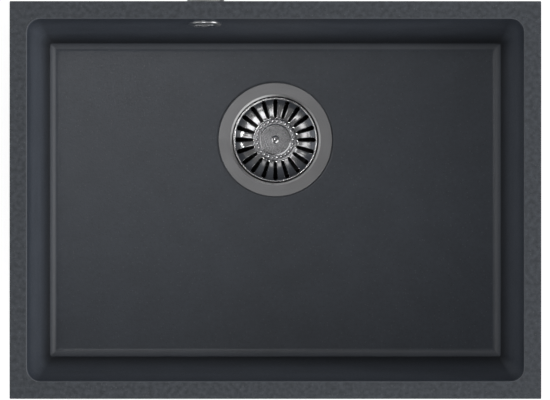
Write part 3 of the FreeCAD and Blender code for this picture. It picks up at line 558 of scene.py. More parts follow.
class Paint(Wiring):
    """A material's nodes, with the place, the height and the rise that its patterns read."""

    def __init__(self, name: str) -> None:
        """Start a material with an empty tree but for its surface.

        Args:
            name: the material's name.
        """
        self.material = bpy.data.materials.new(name)
        self.material.use_nodes = True
        super().__init__(self.material.node_tree)
        self.tree.nodes.clear()
        self.surface = self.node("BsdfPrincipled")
        self.node("OutputMaterial", {"Surface": self.surface.outputs[0]})
        coordinates = self.node("TexCoord").outputs
        self.place, self.normal = coordinates["Object"], coordinates["Normal"]
        self.height = self.node("SeparateXYZ", {"Vector": self.place}).outputs["Z"]
        self.rise = self.node("SeparateXYZ", {"Vector": self.normal}).outputs["Z"]

    def vector(self, operation: str, first: Socket, second: Socket | Colour = (0.0, 0.0, 0.0)) -> Socket:
        """Add a Vector Math node and give its result."""
        outputs = self.node("VectorMath", {0: first, 1: second}, operation=operation).outputs
        return outputs["Value" if operation in ("LENGTH", "DOT_PRODUCT") else "Vector"]

    def from_drain(self) -> Socket:
        """Give the place counted from the drain's axis, without its height."""
        spot = {"Vector": self.place, "Location": (0.0, -LAYOUT.drain_y * MM, 0.0), "Scale": (1.0, 1.0, 0.0)}
        return self.node("Mapping", spot).outputs[0]

    def noise(self, scale: float, detail: float = 3.0, place: Socket | None = None) -> Socket:
        """Give a noise of a scale in cells a metre, between 0 and 1."""
        inputs = {"Vector": place or self.place, "Scale": scale, "Detail": detail}
        return self.node("TexNoise", inputs).outputs[0]

    def spread(self, value: Socket, span: Span, onto: Span = (0.0, 1.0)) -> Socket:
        """Map a value's span onto another one, clamped, where a span may run downwards."""
        ends = {"From Min": span[0], "From Max": span[1], "To Min": onto[0], "To Max": onto[1]}
        return self.node("MapRange", {"Value": value, **ends}).outputs[0]

    def swing(self, noise: Socket, onto: Span = (0.0, 1.0)) -> Socket:
        """Map the whole reach of a noise onto a span."""
        return self.spread(noise, NOISE_SPAN, onto)

    def mixed(self, share: Socket, first: Socket | Colour, second: Socket | Colour,
              blend: str = "MIX") -> Socket:
        """Mix two colours by a share of the second."""
        ends = {0: share, MIX_COLOURS[0]: rgba(first), MIX_COLOURS[1]: rgba(second)}
        return self.node("Mix", ends, data_type="RGBA", blend_type=blend).outputs[MIXED_COLOUR]

    def dimmed(self, share: Socket, colour: Socket | Colour, part: float | Colour) -> Socket:
        """Bring a colour to a part of itself, or to a part of each channel, where a share is 1."""
        parts = part if isinstance(part, tuple) else (part, part, part)
        return self.mixed(share, colour, parts, "MULTIPLY")

    def bump(self, height: Socket, depth: float) -> Socket:
        """Raise the surface by a height between 0 and 1 times a depth in metres."""
        return self.node("Bump", {"Height": height, "Distance": depth, "Strength": 1.0}).outputs[0]

    def set(self, **sockets: object) -> bpy.types.Material:
        """Set or link the surface's sockets.

        Args:
            sockets: the values or sockets, by the surface's names with _ for a space.

        Returns:
            The material.
        """
        for name, value in sockets.items():
            socket = self.surface.inputs[name.replace("_", " ")]
            if isinstance(value, Socket):
                self.tree.links.new(value, socket)
            else:
                socket.default_value = rgba(value)
        return self.material


# The pale fleck colour, which is also the colour of the painted highlight on the bowl's bend and opening
# edge.
FLECK_AND_HIGHLIGHT: Colour = (0.30, 0.31, 0.33)
PIT: Colour = (0.012, 0.013, 0.016)


@dataclass(frozen=True)
class Speck:
    """Specks in the stone: a round spot in some of a pattern's cells.

    The chance is one channel of the cell's own colour, 0 for red and 1 for green. The pick is the
    span of the chance over which a cell gets its spot, and the size the span of the distance from
    its middle over which the spot fades in.
    """

    colour: Colour
    scale: float
    channel: int
    pick: Span
    size: Span
    share: float

    def over(self, paint: Paint, colour: Socket) -> Socket:
        """Lay the specks over a colour.

        Args:
            paint: the material's nodes.
            colour: the colour under the specks.

        Returns:
            The colour with the specks.
        """
        cells = paint.node("TexVoronoi", {"Vector": paint.place, "Scale": self.scale}).outputs
        chance = paint.node("SeparateColor", {"Color": cells["Color"]}).outputs[self.channel]
        mask = paint.times(paint.spread(chance, self.pick), paint.spread(cells["Distance"], self.size))
        return paint.mixed(paint.times(mask, self.share), colour, self.colour)


@dataclass(frozen=True)
class Composite:
    """Dark granite composite: satin inside the bowl, sawn and grainy on the rim's face.

    A span runs from where its share is 0 to where it is 1. Heights and depths are in metres.
    """

    name: str = "composite stone"
    body: Colour = (0.0560, 0.0675, 0.0885)
    rim: Colour = (0.0655, 0.074, 0.087)
    specks: tuple[Speck, ...] = (
        Speck(FLECK_AND_HIGHLIGHT, 420.0, 0, (0.80, 0.84), (0.30, 0.10), 0.20),
        Speck(PIT, 610.0, 1, (0.74, 0.78), (0.30, 0.12), 0.6),
    )
    cloud_scale: float = 35.0
    cloud_detail: float = 2.0
    coarse_scale: float = 230.0
    grain_scale: float = 520.0
    grain_detail: float = 4.0
    body_span: Span = (0.38, 0.62)
    body_swing: float = 0.10
    rim_span: Span = (0.32, 0.68)
    rim_swing: float = 0.26
    rim_face: Span = (-0.0004, -0.0002)
    inward: Span = (-0.05, -0.10)
    upright: Span = (0.30, 0.10)
    turned: Span = (0.995, 0.94)
    # Painted light brightens the inside walls, and painted shade darkens them towards the floor.
    painted_light_height: Span = (-0.010, -0.050)
    wall_painted_light: Colour = (2.05, 1.94, 1.81)
    shade_height: Span = (-0.108, -0.188)
    foot_shade: float = 0.20
    # A painted highlight on the floor's bend.
    bend_height: Span = (-0.1935, -0.1955)
    bend_highlight: float = 0.37
    # Wear and a painted highlight on the opening's edge.
    edge_height: Span = (-0.0018, -0.0009)
    edge_wear_and_highlight: float = 0.24
    rough: Span = (0.34, 0.44)
    rim_rough: float = 0.28
    wall_rough: float = 0.06
    bend_rough: float = 0.10
    edge_rough: float = -0.18
    rim_relief: float = 1.6
    relief: float = 0.00009
    gloss: float = 0.5

    def stone(self, paint: Paint, on_rim: Socket, coarse: Socket) -> Socket:
        """Give the stone's own colour, with its clouds and specks.

        Args:
            paint: the material's nodes.
            on_rim: 1 on the rim's face and 0 elsewhere.
            coarse: the coarser noise.

        Returns:
            The colour.
        """
        cloud = paint.noise(self.cloud_scale, self.cloud_detail)
        soft = paint.times(paint.plus(cloud, coarse), 0.5)
        colour, face = (
            paint.mixed(paint.spread(noise, span), shaded(tint, 1 - swing), shaded(tint, 1 + swing))
            for noise, span, tint, swing in ((soft, self.body_span, self.body, self.body_swing),
                                             (coarse, self.rim_span, self.rim, self.rim_swing)))
        colour = paint.mixed(on_rim, colour, face)
        for speck in self.specks:
            colour = speck.over(paint, colour)
        return colour

    def material(self) -> bpy.types.Material:
        """Build the material.

        Returns:
            The material.
        """
        paint = Paint(self.name)
        on_rim = paint.spread(paint.height, self.rim_face)
        coarse = paint.noise(self.coarse_scale)
        grain = paint.noise(self.grain_scale, self.grain_detail)
        inside = paint.spread(paint.vector("DOT_PRODUCT", paint.place, paint.normal), self.inward)
        wall = paint.times(inside, paint.spread(paint.rise, self.upright))
        turned = paint.spread(paint.rise, self.turned)
        bend = paint.times(paint.times(paint.spread(paint.height, self.bend_height), inside), turned)
        edge = paint.times(paint.spread(paint.height, self.edge_height), turned)
        colour = self.stone(paint, on_rim, coarse)
        # Painted light on the walls, then painted shade towards their foot.
        for span, part in ((self.painted_light_height, self.wall_painted_light), (self.shade_height, self.foot_shade)):
            colour = paint.dimmed(paint.times(wall, paint.spread(paint.height, span)), colour, part)
        # Painted highlight on the floor's bend; wear and a painted highlight on the opening's edge.
        for mask, share in ((bend, self.bend_highlight), (edge, self.edge_wear_and_highlight)):
            colour = paint.mixed(paint.times(mask, share), colour, FLECK_AND_HIGHLIGHT)
        rough = paint.swing(grain, self.rough)
        for mask, share in ((on_rim, self.rim_rough), (wall, self.wall_rough), (bend, self.bend_rough),
                            (edge, self.edge_rough)):
            rough = paint.plus(rough, paint.times(mask, share))
        relief = paint.plus(paint.times(on_rim, paint.times(coarse, self.rim_relief)), grain)
        return paint.set(Base_Color=colour, Roughness=rough, Specular_IOR_Level=self.gloss,
                         Normal=paint.bump(relief, self.relief))


@dataclass(frozen=True)
class RingBrushed:
    """Stainless steel brushed in rings about the drain's axis, with a painted highlight on its turned edges
    and painted shade deep in the cup.
    """

    name: str
    tint: Colour
    rough: float
    # Painted highlight on the turned edges.
    highlight_tint: Colour = (0.85, 0.85, 0.86)
    turned: Span = (0.985, 0.935)
    strokes: float = 3600.0
    sweep: float = 2.2
    line_detail: float = 2.0
    line_tints: Span = (0.92, 1.06)
    blotch_scale: float = 45.0
    scatter: float = 0.03
    brush: float = 0.000002
    # Painted shade on the cup deep under the flange.
    deep_shade_height: Span = (-0.2022, -0.2050)
    deep_shade_share: float = 0.06

    def lines(self, paint: Paint) -> Socket:
        """Give the brushed lines' noise.

        Args:
            paint: the material's nodes.

        Returns:
            The noise, fine across the rings and long round them.
        """
        flat = paint.from_drain()
        heading = paint.vector("MULTIPLY", paint.vector("NORMALIZE", flat), (self.sweep,) * 3)
        parts = paint.node("SeparateXYZ", {"Vector": heading}).outputs
        across = paint.times(paint.plus(paint.vector("LENGTH", flat), paint.height), self.strokes)
        spot = {"X": parts["X"], "Y": parts["Y"], "Z": across}
        return paint.noise(1.0, self.line_detail, paint.node("CombineXYZ", spot).outputs[0])

    def material(self) -> bpy.types.Material:
        """Build the material.

        Returns:
            The material.
        """
        paint = Paint(self.name)
        lines = self.lines(paint)
        turned = paint.spread(paint.rise, self.turned)
        scatter = (-self.scatter, self.scatter)
        blotch = paint.swing(paint.noise(self.blotch_scale), scatter)
        rough = paint.plus(paint.plus(paint.swing(lines, scatter), blotch), self.rough)
        rough = paint.minus(rough, paint.times(turned, self.rough / 2))
        dark, bright = (shaded(self.tint, share) for share in self.line_tints)
        shade = paint.mixed(paint.swing(lines), dark, bright)
        # Painted highlight on the turned edges.
        shade = paint.mixed(turned, shade, self.highlight_tint)
        # Painted shade on the cup deep under the flange.
        shade = paint.dimmed(paint.spread(paint.height, self.deep_shade_height), shade, self.deep_shade_share)
        return paint.set(Base_Color=shade, Metallic=1.0, Roughness=rough,
                         Normal=paint.bump(lines, self.brush))


@dataclass(frozen=True)
class Satin:
    """Pressed or turned metal with a fine satin grain and faint handling marks.

    The deep shade share is painted shade on deep metal that sees no light, the slot shade share
    painted shade on the sides of the strainer's slots, and the rim shade share painted shade that
    dims the strainer's flat rim. The highlight tint is a painted highlight on turned edges and on a
    ring round the drain's axis.
    """

    name: str
    tint: Colour
    rough: float
    grain: float = 0.000003
    grain_scale: float = 2600.0
    scatter: float = 0.03
    marks: float = 0.05
    marks_scale: float = 90.0
    marks_detail: float = 4.0
    marks_tint: float = 0.93
    marks_rough: Span = (0.35, 0.70)
    marks_shade: Span = (0.35, 0.65)
    # Painted highlight on turned edges and on a ring round the drain's axis.
    highlight_tint: Colour | None = None
    turned: Span = (0.965, 0.92)
    highlight_from: Span = (0.0013, 0.0019)
    highlight_to: Span = (0.0050, 0.0048)
    # Painted shade on deep metal that sees no light.
    deep_shade_height: Span = (-0.2140, -0.2170)
    deep_shade_share: float = 1.0
    # Painted shade on the sides of the strainer's slots.
    slot_shade_reach: Span = (0.0418, 0.0415)
    upright: Span = (0.15, 0.05)
    slot_shade_share: float = 1.0
    # Painted shade that dims the strainer's flat rim.
    rim_shade_share: float = 0.42

    def polished(self, paint: Paint, radius: Socket) -> Socket:
        """Give the mask of the painted highlight.

        Args:
            paint: the material's nodes.
            radius: the distance from the drain's axis.

        Returns:
            1 on turned edges and on a ring round the axis, 0 elsewhere.
        """
        ring = paint.times(paint.spread(radius, self.highlight_to), paint.spread(radius, self.highlight_from))
        return paint.maths("MAXIMUM", paint.spread(paint.rise, self.turned), ring)

    def material(self) -> bpy.types.Material:
        """Build the material.

        Returns:
            The material.
        """
        paint = Paint(self.name)
        radius = paint.vector("LENGTH", paint.from_drain())
        fine = paint.noise(self.grain_scale)
        marks = paint.noise(self.marks_scale, self.marks_detail)
        marked = paint.spread(marks, self.marks_rough, (self.rough, self.rough + self.marks))
        rough = paint.plus(paint.swing(fine, (-self.scatter, self.scatter)), marked)
        marked_tint = shaded(self.tint, self.marks_tint)
        shade = paint.mixed(paint.spread(marks, self.marks_shade), self.tint, marked_tint)
        # Painted highlight on turned edges and on the rivet's ring.
        if self.highlight_tint:
            polished = self.polished(paint, radius)
            shade = paint.mixed(polished, shade, self.highlight_tint)
            rough = paint.minus(rough, paint.times(polished, self.rough / 2))
        # Painted shade on deep metal.
        if self.deep_shade_share < 1.0:
            shade = paint.dimmed(paint.spread(paint.height, self.deep_shade_height), shade, self.deep_shade_share)
        if self.slot_shade_share < 1.0:
            # Painted shade on the slots' sides.
            within = paint.spread(radius, self.slot_shade_reach)
            sides = paint.times(within, paint.spread(paint.rise, self.upright))
            shade = paint.dimmed(sides, shade, self.slot_shade_share)
            # Painted shade that dims the flat rim.
            shade = paint.dimmed(paint.spread(within, (1.0, 0.0)), shade, self.rim_shade_share)
        return paint.set(Base_Color=shade, Metallic=1.0, Roughness=rough,
                         Normal=paint.bump(fine, self.grain))


@dataclass(frozen=True)
class Moulded:
    """Moulded plastic or rubber with a fine texture, and dust that lies in faint clouds."""

    name: str
    tint: Colour
    rough: float
    grain: float = 0.00003
    grain_scale: float = 1400.0
    cloud_scale: float = 38.0
    cloud_span: Span = (0.35, 0.65)
    cloud_tint: float = 0.86
    cloud_rough: float = 0.08
    pit_span: Span = (0.62, 0.75)
    pit_tint: float = 0.7
    pit_share: float = 0.35
    scatter: float = 0.05

    def material(self) -> bpy.types.Material:
        """Build the material.

        Returns:
            The material.
        """
        paint = Paint(self.name)
        fine = paint.noise(self.grain_scale)
        cloud = paint.noise(self.cloud_scale)
        dusty = shaded(self.tint, self.cloud_tint)
        shade = paint.mixed(paint.spread(cloud, self.cloud_span), self.tint, dusty)
        pits = paint.spread(fine, self.pit_span, (0.0, self.pit_share))
        shade = paint.mixed(pits, shade, shaded(self.tint, self.pit_tint))
        rough = paint.plus(paint.swing(fine, (-self.scatter, self.scatter)),
                           paint.swing(cloud, (self.rough, self.rough + self.cloud_rough)))
        return paint.set(Base_Color=shade, Roughness=rough, Normal=paint.bump(fine, self.grain))


class Finish(Enum):
    """The sink's finishes, by the record's slots."""

    COMPOSITE = Composite()
    FLANGE_STEEL = RingBrushed("flange steel", (0.205, 0.205, 0.21), 0.42)
    DISC_STEEL = RingBrushed("disc steel", (0.36, 0.36, 0.37), 0.20)
    # The basket's slot sides and rim and the bolt steel's deep parts carry painted shade, and the knob steel
    # a painted highlight.
    BASKET_STEEL = Satin("basket steel", (0.85, 0.85, 0.86), 0.15, slot_shade_share=0.06)
    KNOB_STEEL = Satin("knob steel", (0.34, 0.34, 0.35), 0.20, highlight_tint=(0.80, 0.80, 0.81))
    BOLT_STEEL = Satin("bolt steel", (0.40, 0.40, 0.40), 0.34, deep_shade_share=0.06)
    INSERT_BRASS = Satin("insert brass", (0.72, 0.53, 0.24), 0.34)
    COVER_CHROME = Satin("cover chrome", (0.88, 0.89, 0.90), 0.24, grain=0.000001, marks=0.10)
    SCREW_CHROME = Satin("screw chrome", (0.58, 0.58, 0.59), 0.16, grain=0.000001, marks=0.10)
    SEAL_RUBBER = Moulded("seal rubber", (0.03, 0.03, 0.03), 0.62)
    POT_PLASTIC = Moulded("pot plastic", (0.62, 0.62, 0.60), 0.42)
    NUT_PLASTIC = Moulded("nut plastic", (0.60, 0.60, 0.58), 0.40)
    HOSE_PLASTIC = Moulded("hose plastic", (0.64, 0.64, 0.62), 0.46)

    @property
    def slot(self) -> str:
        """Give the record's slot that the finish is for."""
        return self.name.lower()

    def material(self) -> bpy.types.Material:
        """Give the finish's material, built the first time."""
        return bpy.data.materials.get(self.value.name) or self.value.material()


def paint_over(item: bpy.types.Object, finish: Finish) -> None:
    """Give every material slot of an object one finish.

    Args:
        item: the object.
        finish: its finish.
    """
    if not item.data.materials:
        item.data.materials.append(finish.material())
    for number in range(len(item.data.materials)):
        item.data.materials[number] = finish.material()


# Sub-assemblies

Pieces = list[tuple[bpy.types.Object, Finish, str]]


class Body(Enum):
    """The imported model's bodies that built pieces ride on."""

    ROOT = "root"
    STRAINER = "strainer"


class SubAssembly:
    """A part of the sink that is built here, piece by piece."""

    BODY: ClassVar[Body] = Body.ROOT

    def pieces(self) -> Pieces:
        """Build the pieces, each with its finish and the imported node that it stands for."""
        raise NotImplementedError

    def dress(self) -> None:
        """Give each piece its finish, put it on its body, and hide the imported node that it stands for."""
        for piece, finish, node in self.pieces():
            paint_over(piece, finish)
            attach(piece, self.BODY.value)
            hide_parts(node)
            log.info("%s: %d faces on %s", piece.name, len(piece.data.polygons), self.BODY.value)


@dataclass
class Bowl(SubAssembly):
    """The moulded bowl: flat rim, drafted tub, floor that bends up into the walls, and its holes.

    The hold is the width of the narrow strips beside each bend that keep the flat faces flat.
    """

    rim_half: Spot = (255.0, 190.75)
    rim_corner: float = 1.0
    rim_thick: float = 10.0
    rim_edge: float = 0.4
    open_half: Spot = (238.25, LAYOUT.open_half_y)
    open_corner: float = 13.0
    open_edge: float = 1.2
    floor_half: Spot = (225.5, LAYOUT.floor_half_y)
    floor_corner: float = 3.0
    floor_bend: float = 8.0
    depth: float = LAYOUT.depth
    wall: float = LAYOUT.wall
    floor_thick: float = 10.0
    under_bend: float = 6.0
    under_fillet: float = 4.0
    recess_radius: float = 58.2
    recess_depth: float = 2.8
    recess_edge: float = 0.4
    drain_hole: float = 45.0
    overflow_hole: float = 13.0
    hold: float = 1.0
    least_corner: float = 0.2
    side_steps: int = 10
    corner_steps: int = 8
    bend_steps: int = 10
    edge_steps: int = 5
    wall_steps: int = 6
    round_steps: int = 128
    crease: float = 50.0

    @property
    def under(self) -> float:
        """Give the height of the floor's underside."""
        return -self.depth - self.floor_thick

    def drafted(self, top: float, foot: float, z: float) -> float:
        """Give a size at a height, by the drafted wall's line from the rim's top to the floor."""
        share = -z / self.depth
        return top * (1 - share) + foot * share

    def wall_half(self, axis: int, z: float, extra: float = 0.0) -> float:
        """Give half the tub's size at a height, grown by a distance."""
        return self.drafted(self.open_half[axis], self.floor_half[axis], z) + extra

    def hollow_half(self, axis: int, z: float) -> float:
        """Give half the hollow's size at a height, with the floor's bend.

        Args:
            axis: 0 for X and 1 for Y.
            z: the height.

        Returns:
            Half the size.
        """
        run = (self.open_half[axis] - self.floor_half[axis]) / self.depth
        reach = self.floor_bend * (math.hypot(1.0, run) - run)
        bend_top = reach / math.hypot(1.0, run) - self.depth
        if z >= bend_top:
            return self.wall_half(axis, z)
        rise = z + self.depth - self.floor_bend
        return self.floor_half[axis] - reach + math.sqrt(max(0.0, self.floor_bend ** 2 - rise ** 2))

    def loop(self, bm: bmesh.types.BMesh, half: Sequence[float], corner: float, z: float) -> Loop:
        """Add one rectangle with round corners.

        Args:
            bm: the mesh.
            half: half the rectangle's two sizes.
            corner: its corners' radius.
            z: its height.

        Returns:
            The loop's vertices, anticlockwise from above.
        """
        arcs = []
        for quarter, (side_x, side_y) in enumerate(((1, 1), (-1, 1), (-1, -1), (1, -1))):
            centre = Vector((side_x * (half[0] - corner), side_y * (half[1] - corner), z))
            angles = turns(self.corner_steps, (quarter + 1) * QUARTER, quarter * QUARTER)
            arcs.append([centre + Vector((*around(corner, turn), 0.0)) for turn in angles])
        spots = []
        for arc, after in zip(arcs, arcs[1:] + arcs[:1]):
            spots += arc
            spots += [arc[-1].lerp(after[0], k / self.side_steps) for k in range(1, self.side_steps)]
        return [bm.verts.new(spot) for spot in spots]

    def tub_loop(self, bm: bmesh.types.BMesh, z: float, extra: float) -> Loop:
        """Add the tub's outside at one height.

        Args:
            bm: the mesh.
            z: the height.
            extra: how far the loop stands out of the wall.

        Returns:
            The loop's vertices.
        """
        corner = self.drafted(self.open_corner, self.floor_corner, z) + self.wall + extra
        half = [self.wall_half(axis, z, self.wall + extra) for axis in (0, 1)]
        return self.loop(bm, half, max(self.least_corner, corner), z)

    def hollow_loop(self, bm: bmesh.types.BMesh, z: float) -> Loop:
        """Add the hollow's wall or bend at one height.

        Args:
            bm: the mesh.
            z: the height.

        Returns:
            The loop's vertices.
        """
        half = [self.hollow_half(axis, z) for axis in (0, 1)]
        inward = max(self.wall_half(axis, z) - half[axis] for axis in (0, 1))
        # The corner tightens as the bend comes in, so that the middle of its arc stays on the wall's line
        corner = self.drafted(self.open_corner, self.floor_corner, z) - inward / (1 - math.sqrt(0.5))
        return self.loop(bm, half, max(self.least_corner, corner), z)

    def drain_circle(self, bm: bmesh.types.BMesh, radius: float, z: float) -> Loop:
        """Add one circle about the drain's axis."""
        return [bm.verts.new((x, LAYOUT.drain_y + y, z)) for x, y in circle(radius, self.round_steps)]

    def inside(self, bm: bmesh.types.BMesh) -> list[Loop]:
        """Add the loops from the rim's top down the walls to the floor.

        Args:
            bm: the mesh.

        Returns:
            The loops.
        """
        loops = []
        for turn in turns(self.bend_steps):
            out = self.open_edge * (1 - math.sin(turn))
            z = -self.open_edge * (1 - math.cos(turn))
            half = [self.wall_half(axis, z, out) for axis in (0, 1)]
            loops.append(self.loop(bm, half, self.open_corner + out, z))
        wall_top = -self.open_edge - self.hold
        wall_foot = self.hold - self.depth + self.floor_bend
        heights = turns(self.wall_steps, wall_foot, wall_top)
        heights += [self.floor_bend * (1 - math.sin(turn)) - self.depth for turn in turns(self.bend_steps)]
        loops += [self.hollow_loop(bm, z) for z in heights]
        half = [self.hollow_half(axis, -self.depth) - self.hold for axis in (0, 1)]
        loops.append(self.loop(bm, half, self.least_corner, -self.depth))
        return loops

    def outside(self, bm: bmesh.types.BMesh) -> list[Loop]:
        """Add the loops from the underside up the tub and round the rim to its top.

        Args:
            bm: the mesh.

        Returns:
            The loops.
        """
        rim_under = -self.rim_thick
        bend, fillet = self.under_bend, self.under_fillet
        spots = [(self.under, -bend - self.hold)]
        spots += [(self.under + bend * (1 - math.cos(turn)), bend * (math.sin(turn) - 1))
                  for turn in turns(self.bend_steps)]
        low, high = self.under + bend + self.hold, rim_under - fillet - self.hold
        spots += [(z, 0.0) for z in (low, (self.under + rim_under) / 2, high)]
        spots += [(rim_under - fillet * (1 - math.sin(turn)), fillet * (1 - math.cos(turn)))
                  for turn in turns(self.bend_steps)]
        loops = [self.tub_loop(bm, z, extra) for z, extra in spots]
        for z, way in ((rim_under + self.rim_edge, -1), (-self.rim_edge, 1)):
            for turn in turns(self.edge_steps)[::way]:
                out = self.rim_edge * (math.cos(turn) - 1)
                half = [size + out for size in self.rim_half]
                height = z + way * self.rim_edge * math.sin(turn)
                loops.append(self.loop(bm, half, self.rim_corner + out, height))
        half = [size - self.rim_edge - self.hold for size in self.rim_half]
        loops.append(self.loop(bm, half, self.least_corner, 0.0))
        out = self.open_edge + self.hold
        loops.append(self.loop(bm, [size + out for size in self.open_half], self.open_corner + out, 0.0))
        return loops

    def drain(self, bm: bmesh.types.BMesh) -> list[Loop]:
        """Add the circles of the flange's recess and the drain's hole.

        Args:
            bm: the mesh.

        Returns:
            The circles, from the floor's top to its underside.
        """
        ledge = -self.depth - self.recess_depth
        rims = [(self.recess_radius + self.recess_edge + self.hold, -self.depth)]
        rims += [(self.recess_radius + self.recess_edge * (1 - math.sin(turn)),
                  -self.depth - self.recess_edge * (1 - math.cos(turn))) for turn in turns(self.edge_steps)]
        rims += [(self.recess_radius, ledge), (self.drain_hole, ledge), (self.drain_hole, self.under),
                 (self.drain_hole + self.hold, self.under)]
        return [self.drain_circle(bm, radius, z) for radius, z in rims]

    def overflow_tool(self) -> bpy.types.Object:
        """Build the tool that cuts the overflow's hole through the rear wall.

        Returns:
            The tool.
        """
        low, high = -self.wall, 2 * self.wall
        outline = [(0.0, low), (self.overflow_hole, low), (self.overflow_hole, high), (0.0, high)]
        out_of_wall = Matrix.Rotation(-QUARTER, 4, "X")
        return make_object("overflow_hole", lathe(outline), LAYOUT.on_wall @ out_of_wall)

    def build(self) -> bpy.types.Object:
        """Build the bowl as one closed shell.

        Returns:
            The bowl.
        """
        bm = bmesh.new()
        outside, inside = self.outside(bm), self.inside(bm)
        drain = self.drain(bm)
        skin(bm, outside + inside)
        skin(bm, drain)
        for wide, narrow in ((inside[-1], drain[0]), (outside[0], drain[-1])):
            edges = [bm.edges.get(pair) for ring in (wide, narrow) for pair in zip(ring, ring[1:] + ring[:1])]
            bmesh.ops.triangle_fill(bm, edges=edges, use_beauty=True)
        bowl = make_object("bowl_shell", bm, crease=self.crease)
        return cut(bowl, [self.overflow_tool()], self.crease)

    def pieces(self) -> Pieces:
        """Build the bowl."""
        return [(self.build(), Finish.COMPOSITE, "bowl")]


@dataclass
class WasteFlange(SubAssembly):
    """The pressed flange and cup under the strainer, with the water's ways through its bottom."""

    radius: float = 57.0
    sink: float = 0.1
    sheet: float = 1.2
    cup_radius: float = 44.0
    cup_straight: float = 10.0
    cup_foot: float = 39.0
    cup_depth: float = 36.8
    cup_bend: float = 4.0
    cup_shoulder: float = 3.0
    neck_bend: float = 0.6
    bolt_hole: float = 6.5
    hole_edge: float = 0.2
    lip: float = 1.6
    lip_bend: float = 0.5
    ledge: float = 43.5
    ledge_top: float = 0.75
    ledge_foot: float = 1.6
    ledge_slope: float = 0.8
    ledge_bends: tuple[float, float, float] = (0.3, 0.2, 0.15)
    edge: float = 0.4
    way_inner: float = 13.0
    way_outer: float = 24.0
    way_turn: float = 50.0
    way_count: int = 5
    way_steps: int = 8
    steps: int = 160
    facet: float = 10.0

    def way(self) -> bpy.types.Object:
        """Build the tool that cuts the water's ways.

        Returns:
            The tool, with all the ways in one mesh.
        """
        half = math.radians(self.way_turn) / 2
        angles = turns(self.way_steps, half, -half)
        outline = [around(self.way_inner, turn) for turn in angles]
        outline += [around(self.way_outer, turn) for turn in reversed(angles)]
        block = prism(outline, -self.cup_depth - 2 * self.sheet, self.sheet - self.cup_depth)
        item = make_object("cup_ways", block)
        ring_of(item, self.way_count, Finish.FLANGE_STEEL.material())
        return seated(item, LAYOUT.drain)

    def build(self) -> bpy.types.Object:
        """Build the flange and cup.

        Returns:
            The flange and cup as one piece.
        """
        top, low = -self.sink, -self.sink - self.sheet
        outer = self.cup_radius + self.sheet
        bottom, under = -self.cup_depth, -self.cup_depth - self.sheet
        slope, foot, mouth = self.ledge_bends
        outline = rounded([
            (self.radius, top, self.edge), (self.radius, low, self.edge), (outer, low, self.neck_bend),
            (outer, -self.cup_straight, self.cup_shoulder),
            (self.cup_foot + self.sheet, under, self.cup_bend + self.sheet),
            (self.bolt_hole, under, self.hole_edge), (self.bolt_hole, bottom, self.hole_edge),
            (self.cup_foot, bottom, self.cup_bend),
            (self.cup_radius, -self.cup_straight, self.cup_shoulder),
            (self.cup_radius, -self.ledge_foot - self.ledge_slope, slope),
            (self.ledge, -self.ledge_foot, foot),
            (self.ledge, -self.ledge_top, mouth), (self.cup_radius + self.lip, top, self.lip_bend),
        ], self.facet)
        item = make_object("waste_flange_ring", lathe(outline, self.steps), LAYOUT.drain)
        return cut(item, [self.way()])

    def pieces(self) -> Pieces:
        """Build the flange."""
        return [(self.build(), Finish.FLANGE_STEEL, "waste_flange")]


